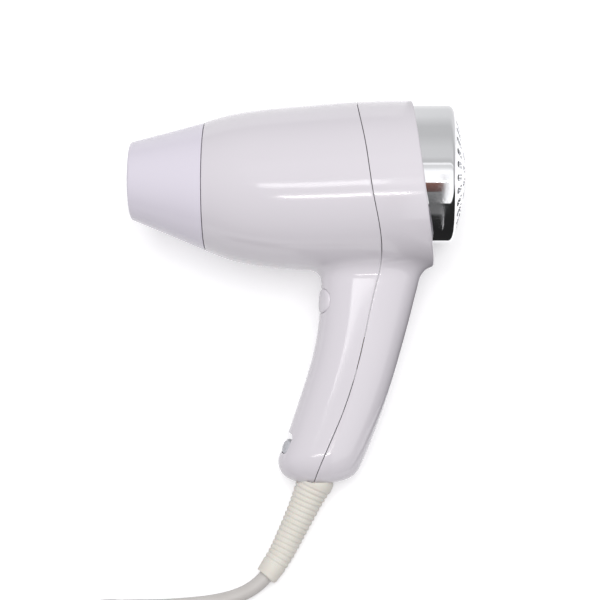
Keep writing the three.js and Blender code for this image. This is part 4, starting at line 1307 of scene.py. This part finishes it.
def blade_blank():
    """One fan blade: two faces of small quads, closed round their edges."""
    rows, columns = range(BLADE_ROWS), range(BLADE_COLUMNS)
    vertices = [blade_point(i, j, side) for side in (1, -1) for i in rows for j in columns]
    sheet, faces = BLADE_ROWS * BLADE_COLUMNS, []
    for i in rows[:-1]:
        for j in columns[:-1]:
            a = i * BLADE_COLUMNS + j
            quad = (a, a + 1, a + 1 + BLADE_COLUMNS, a + BLADE_COLUMNS)
            faces += [quad, tuple(sheet + v for v in reversed(quad))]
    rim = [*columns, *[i * BLADE_COLUMNS + columns[-1] for i in rows[1:]]]
    rim += [rows[-1] * BLADE_COLUMNS + j for j in columns[-2::-1]]
    rim += [i * BLADE_COLUMNS for i in rows[-2:0:-1]]
    faces += [(a, b, b + sheet, a + sheet) for a, b in zip(rim, [*rim[1:], rim[0]])]
    return shape("blade_blank", vertices, faces, black_finish, Matrix.Identity(4))


blade_source = blade_blank()
fan_tree = Tree("fan_wheel", Blades=FAN["blades"], Finish=black_finish)
wheel = fan_tree.spun(fan_tree.group.nodes[0].outputs[0], fan_tree.given["Blades"])
fan_x0, fan_x1, hub = FAN["x0"], FAN["x1"], FAN["hub"]
blades = fan_tree.grown("fan_blades", wheel, blade_source.data, across_barrel((fan_x0 + fan_x1) / 2, AIR_Y))
bpy.data.objects.remove(blade_source)
fit(blades, "rotor", "black_plastic", "impeller")
round_piece("fan_hub", [(fan_x0, FAN["bore"], 0.1), (fan_x0, hub, 0.6), (fan_x1, hub, 1.8),
                        (fan_x1, FAN["bore"], 0.1)], AIR_Y, black_finish, "rotor", "black_plastic")

board_finish = finish("green_board", (0.05, 0.17, 0.075), (0.035, 0.13, 0.055), (0.25, 0.4), 200, 2500,
                      0.00001)
board_line = rod(BOARD["x0"], BOARD["x1"], BOARD["r"], 0.15)
fit(turned("round_board", board_line, AIR_Y, board_finish, 48), "housing", "circuit_board", "rectifier_board")
diode_line = rod(DIODE["x0"], DIODE["x1"], DIODE["r"], 0.3)
for number in range(4):
    y = AIR_Y + (DIODE["off"] if number < 2 else -DIODE["off"])
    z = DIODE["off"] if number % 2 else -DIODE["off"]
    diode = turned(f"rectifier_{number + 1}", diode_line, y, black_finish, 24, axis_z=z)
    fit(diode, "housing", "black_plastic", f"diode_{number + 1}")

# ---- Heater's safety parts ----------------------------------------------------------------
# The mica formers stay as they were cut. A bimetal thermostat and a crimped thermal fuse sit between.

THERMOSTAT = ((-33, AIR_Y + 0.7, 4), (-24, AIR_Y + 4.2, 12))
FUSE = {"x0": -15, "x1": -4, "r": 1.5, "y": AIR_Y - 2.2, "z": -8}
dress(mica_finish, "mica_tube", "mica_board_a", "mica_board_b")


def slab(name, low, high, radius, material, place=handset):
    """A moulded block with rounded edges between two corners."""
    corners = [(x, y, z) for x in (low[0], high[0]) for y in (low[1], high[1]) for z in (low[2], high[2])]
    faces = [(0, 1, 3, 2), (4, 6, 7, 5), (0, 4, 5, 1), (2, 3, 7, 6), (0, 2, 6, 4), (1, 5, 7, 3)]
    piece = shape(name, corners, faces, material, place)
    block = bmesh.new()
    block.from_mesh(piece.data)
    bmesh.ops.bevel(block, geom=block.edges[:], offset=radius * MM, segments=3, profile=0.5, affect="EDGES")
    block.to_mesh(piece.data)
    block.free()
    piece.data.shade_smooth()
    piece.data.set_sharp_from_angle(angle=math.radians(40))
    return piece


fit(slab("bimetal_thermostat", *THERMOSTAT, 0.6, steel_finish), "housing", "steel", "thermostat")
fuse_line = rod(FUSE["x0"], FUSE["x1"], FUSE["r"], 0.5)
fuse = turned("crimped_fuse", fuse_line, FUSE["y"], brass_finish, 24, axis_z=FUSE["z"])
fit(fuse, "housing", "brass", "thermal_fuse")

# ---- Switches and fittings in the grip ----------------------------------------------------
# A snap-action switch behind the trigger, a slide switch behind the selector, a terminal block, a
# suppression capacitor, and the clamp that holds the lead's jacket.

SNAP_SWITCH = ((24.3, -66, -5), (33, -50, 5))
SLIDING_SWITCH = ((7.9, -7, -7), (12.4, 7, 7))
TERMINALS = ((20, -112, -6), (30, -98, 6))
CAPACITOR = ((24, -92, -3.5), (40, -76, 3.5))
THREAD = {"head_r": 2.6, "shank_r": 1.4, "pitch": 0.85}
CLAMP_SCREWS = {"y": -136, "side": 8.5, "head_x": 18.3, "tip_x": 9.5}
HANDLE_SCREW = {"head_x": 28.3, "tip_x": 16}

fit(slab("snap_switch", *SNAP_SWITCH, 0.5, black_finish), "housing", "black_plastic", "micro_switch")
switch_place = handset @ Matrix.Translation(slot_at) @ Matrix.Rotation(lean, 4, "Z")
switch = slab("sliding_switch", *SLIDING_SWITCH, 0.5, black_finish, switch_place)
fit(switch, "housing", "black_plastic", "slide_switch")
fit(slab("screw_terminals", *TERMINALS, 0.7, relief_finish), "housing", "relief_rubber", "terminal_block")
capacitor_finish = finish("capacitor_resin", (0.62, 0.38, 0.1), (0.5, 0.28, 0.07), (0.3, 0.45), 120, 1600,
                          0.00003)
capacitor = slab("film_capacitor", *CAPACITOR, 1.2, capacitor_finish)
fit(capacitor, "housing", "brass", "suppression_capacitor")
dress(relief_finish, "cord_clamp")


def threaded(name, head_x, tip_x, y, z, node):
    """A cross-headed self-tapping screw along X, its head towards the rear."""
    head_r, shank_r = THREAD["head_r"], THREAD["shank_r"]
    line = [(tip_x, 0), (tip_x + 1, shank_r * 0.7)]
    x = tip_x + 1.2
    while x < head_x - 0.6:
        line += [(x, shank_r * 0.78), (x + 0.35, shank_r), (x + 0.5, shank_r)]
        x += THREAD["pitch"]
    line += [(head_x, shank_r * 0.8), (head_x, head_r - 0.1)]
    line += [(head_x + 0.2, head_r), (head_x + 1.1, head_r), (head_x + 1.55, head_r * 0.82)]
    line += [(head_x + 1.8, head_r * 0.55), (head_x + 1.8, 0)]
    screw = turned(name, line, y, steel_finish, 40, axis_z=z, sharp=30)
    for wide, tall in ((0.35, 1.5), (1.5, 0.35)):
        low, high = (head_x + 0.9, y - tall, z - wide), (head_x + 3, y + tall, z + wide)
        recess = slab("recess", low, high, 0.1, steel_finish)
        cut = screw.modifiers.new("cut", "BOOLEAN")
        cut.object, cut.solver = recess, "EXACT"
        mesh = worked(screw)
        screw.modifiers.clear()
        screw.data = mesh
        bpy.data.objects.remove(recess)
    fit(screw, "housing", "steel", node)


threaded("sunk_screw", HANDLE_SCREW["head_x"], HANDLE_SCREW["tip_x"], SCREW["y"], 0, "handle_screw")
for number, z in enumerate((-CLAMP_SCREWS["side"], CLAMP_SCREWS["side"]), 1):
    threaded(f"clamp_screw_{number}_threaded", CLAMP_SCREWS["head_x"], CLAMP_SCREWS["tip_x"],
             CLAMP_SCREWS["y"], z, f"clamp_screw_{number}")
boss_line = [(26, 1.7, 0.1), (26, 4.4, 0.2), (33, 4.4, 0.2), (33, 2.9, 0.2), (28, 2.9, 0.2), (28, 1.7, 0.1)]
post_line = [(14, 1.45, 0.1), (14, 3.8, 0.3), (25.6, 3.8, 0.2), (25.6, 1.45, 0.1)]
for name, line in (("screw_boss", boss_line), ("screw_post", post_line)):
    round_piece(name, line, SCREW["y"], shell_finish, "housing", "body_plastic", sides=48)

# ---- Wiring -------------------------------------------------------------------------------
# The lead's inner end and its silicone-insulated cores, dressed up the grip to the switches and heater.

WIRE_D = 1.8
red_finish = finish("red_silicone", (0.5, 0.05, 0.035), (0.4, 0.035, 0.025), (0.35, 0.5), 100, 1500)
blue_finish = finish("blue_silicone", (0.04, 0.1, 0.42), (0.03, 0.07, 0.33), (0.35, 0.5), 100, 1500)
WIRES = {
    "lead_neutral": (blue_finish, "blue_insulation", [
        (11.4, -130, -2), (11, -124, -3.5), (12.6, -116, -8), (17, -104, -10), (24, -85, -10), (30, -65, -10),
        (29, -48, -9), (20, -39, -7), (11, -36.5, -6), (8, -33, -6), (8, -24, -6), (7.6, -15, -5)]),
    "lead_live": (red_finish, "red_insulation", [
        (11, -130, 2), (10.8, -124, 3.5), (12, -116, 6), (15.5, -106, 9), (20, -90, 9.5), (26, -75, 8.5),
        (29, -67, 7.4)]),
    "lead_heater": (red_finish, "red_insulation", [
        (29, -49.5, 4), (26, -44, 5), (18, -39.5, 6), (11, -36.8, 6), (8, -33, 6), (8, -24, 6),
        (7.6, -15, 5)]),
}
for node, (material, slot, rows) in WIRES.items():
    wire = solid_line(node.replace("lead", "wire"), through(rows, 160), WIRE_D, material)
    fit(wire, "housing", slot, node)
INNER_END = [(8.6, -140.6, 0), (9.6, -138, 0), (11, -135, 0), (12, -131.8, 0)]
inner_end = solid_line("flex_inner_end", through(INNER_END, 40), LEAD_D, lead_finish)
fit(inner_end, "housing", "lead_vinyl", "cord_inner")
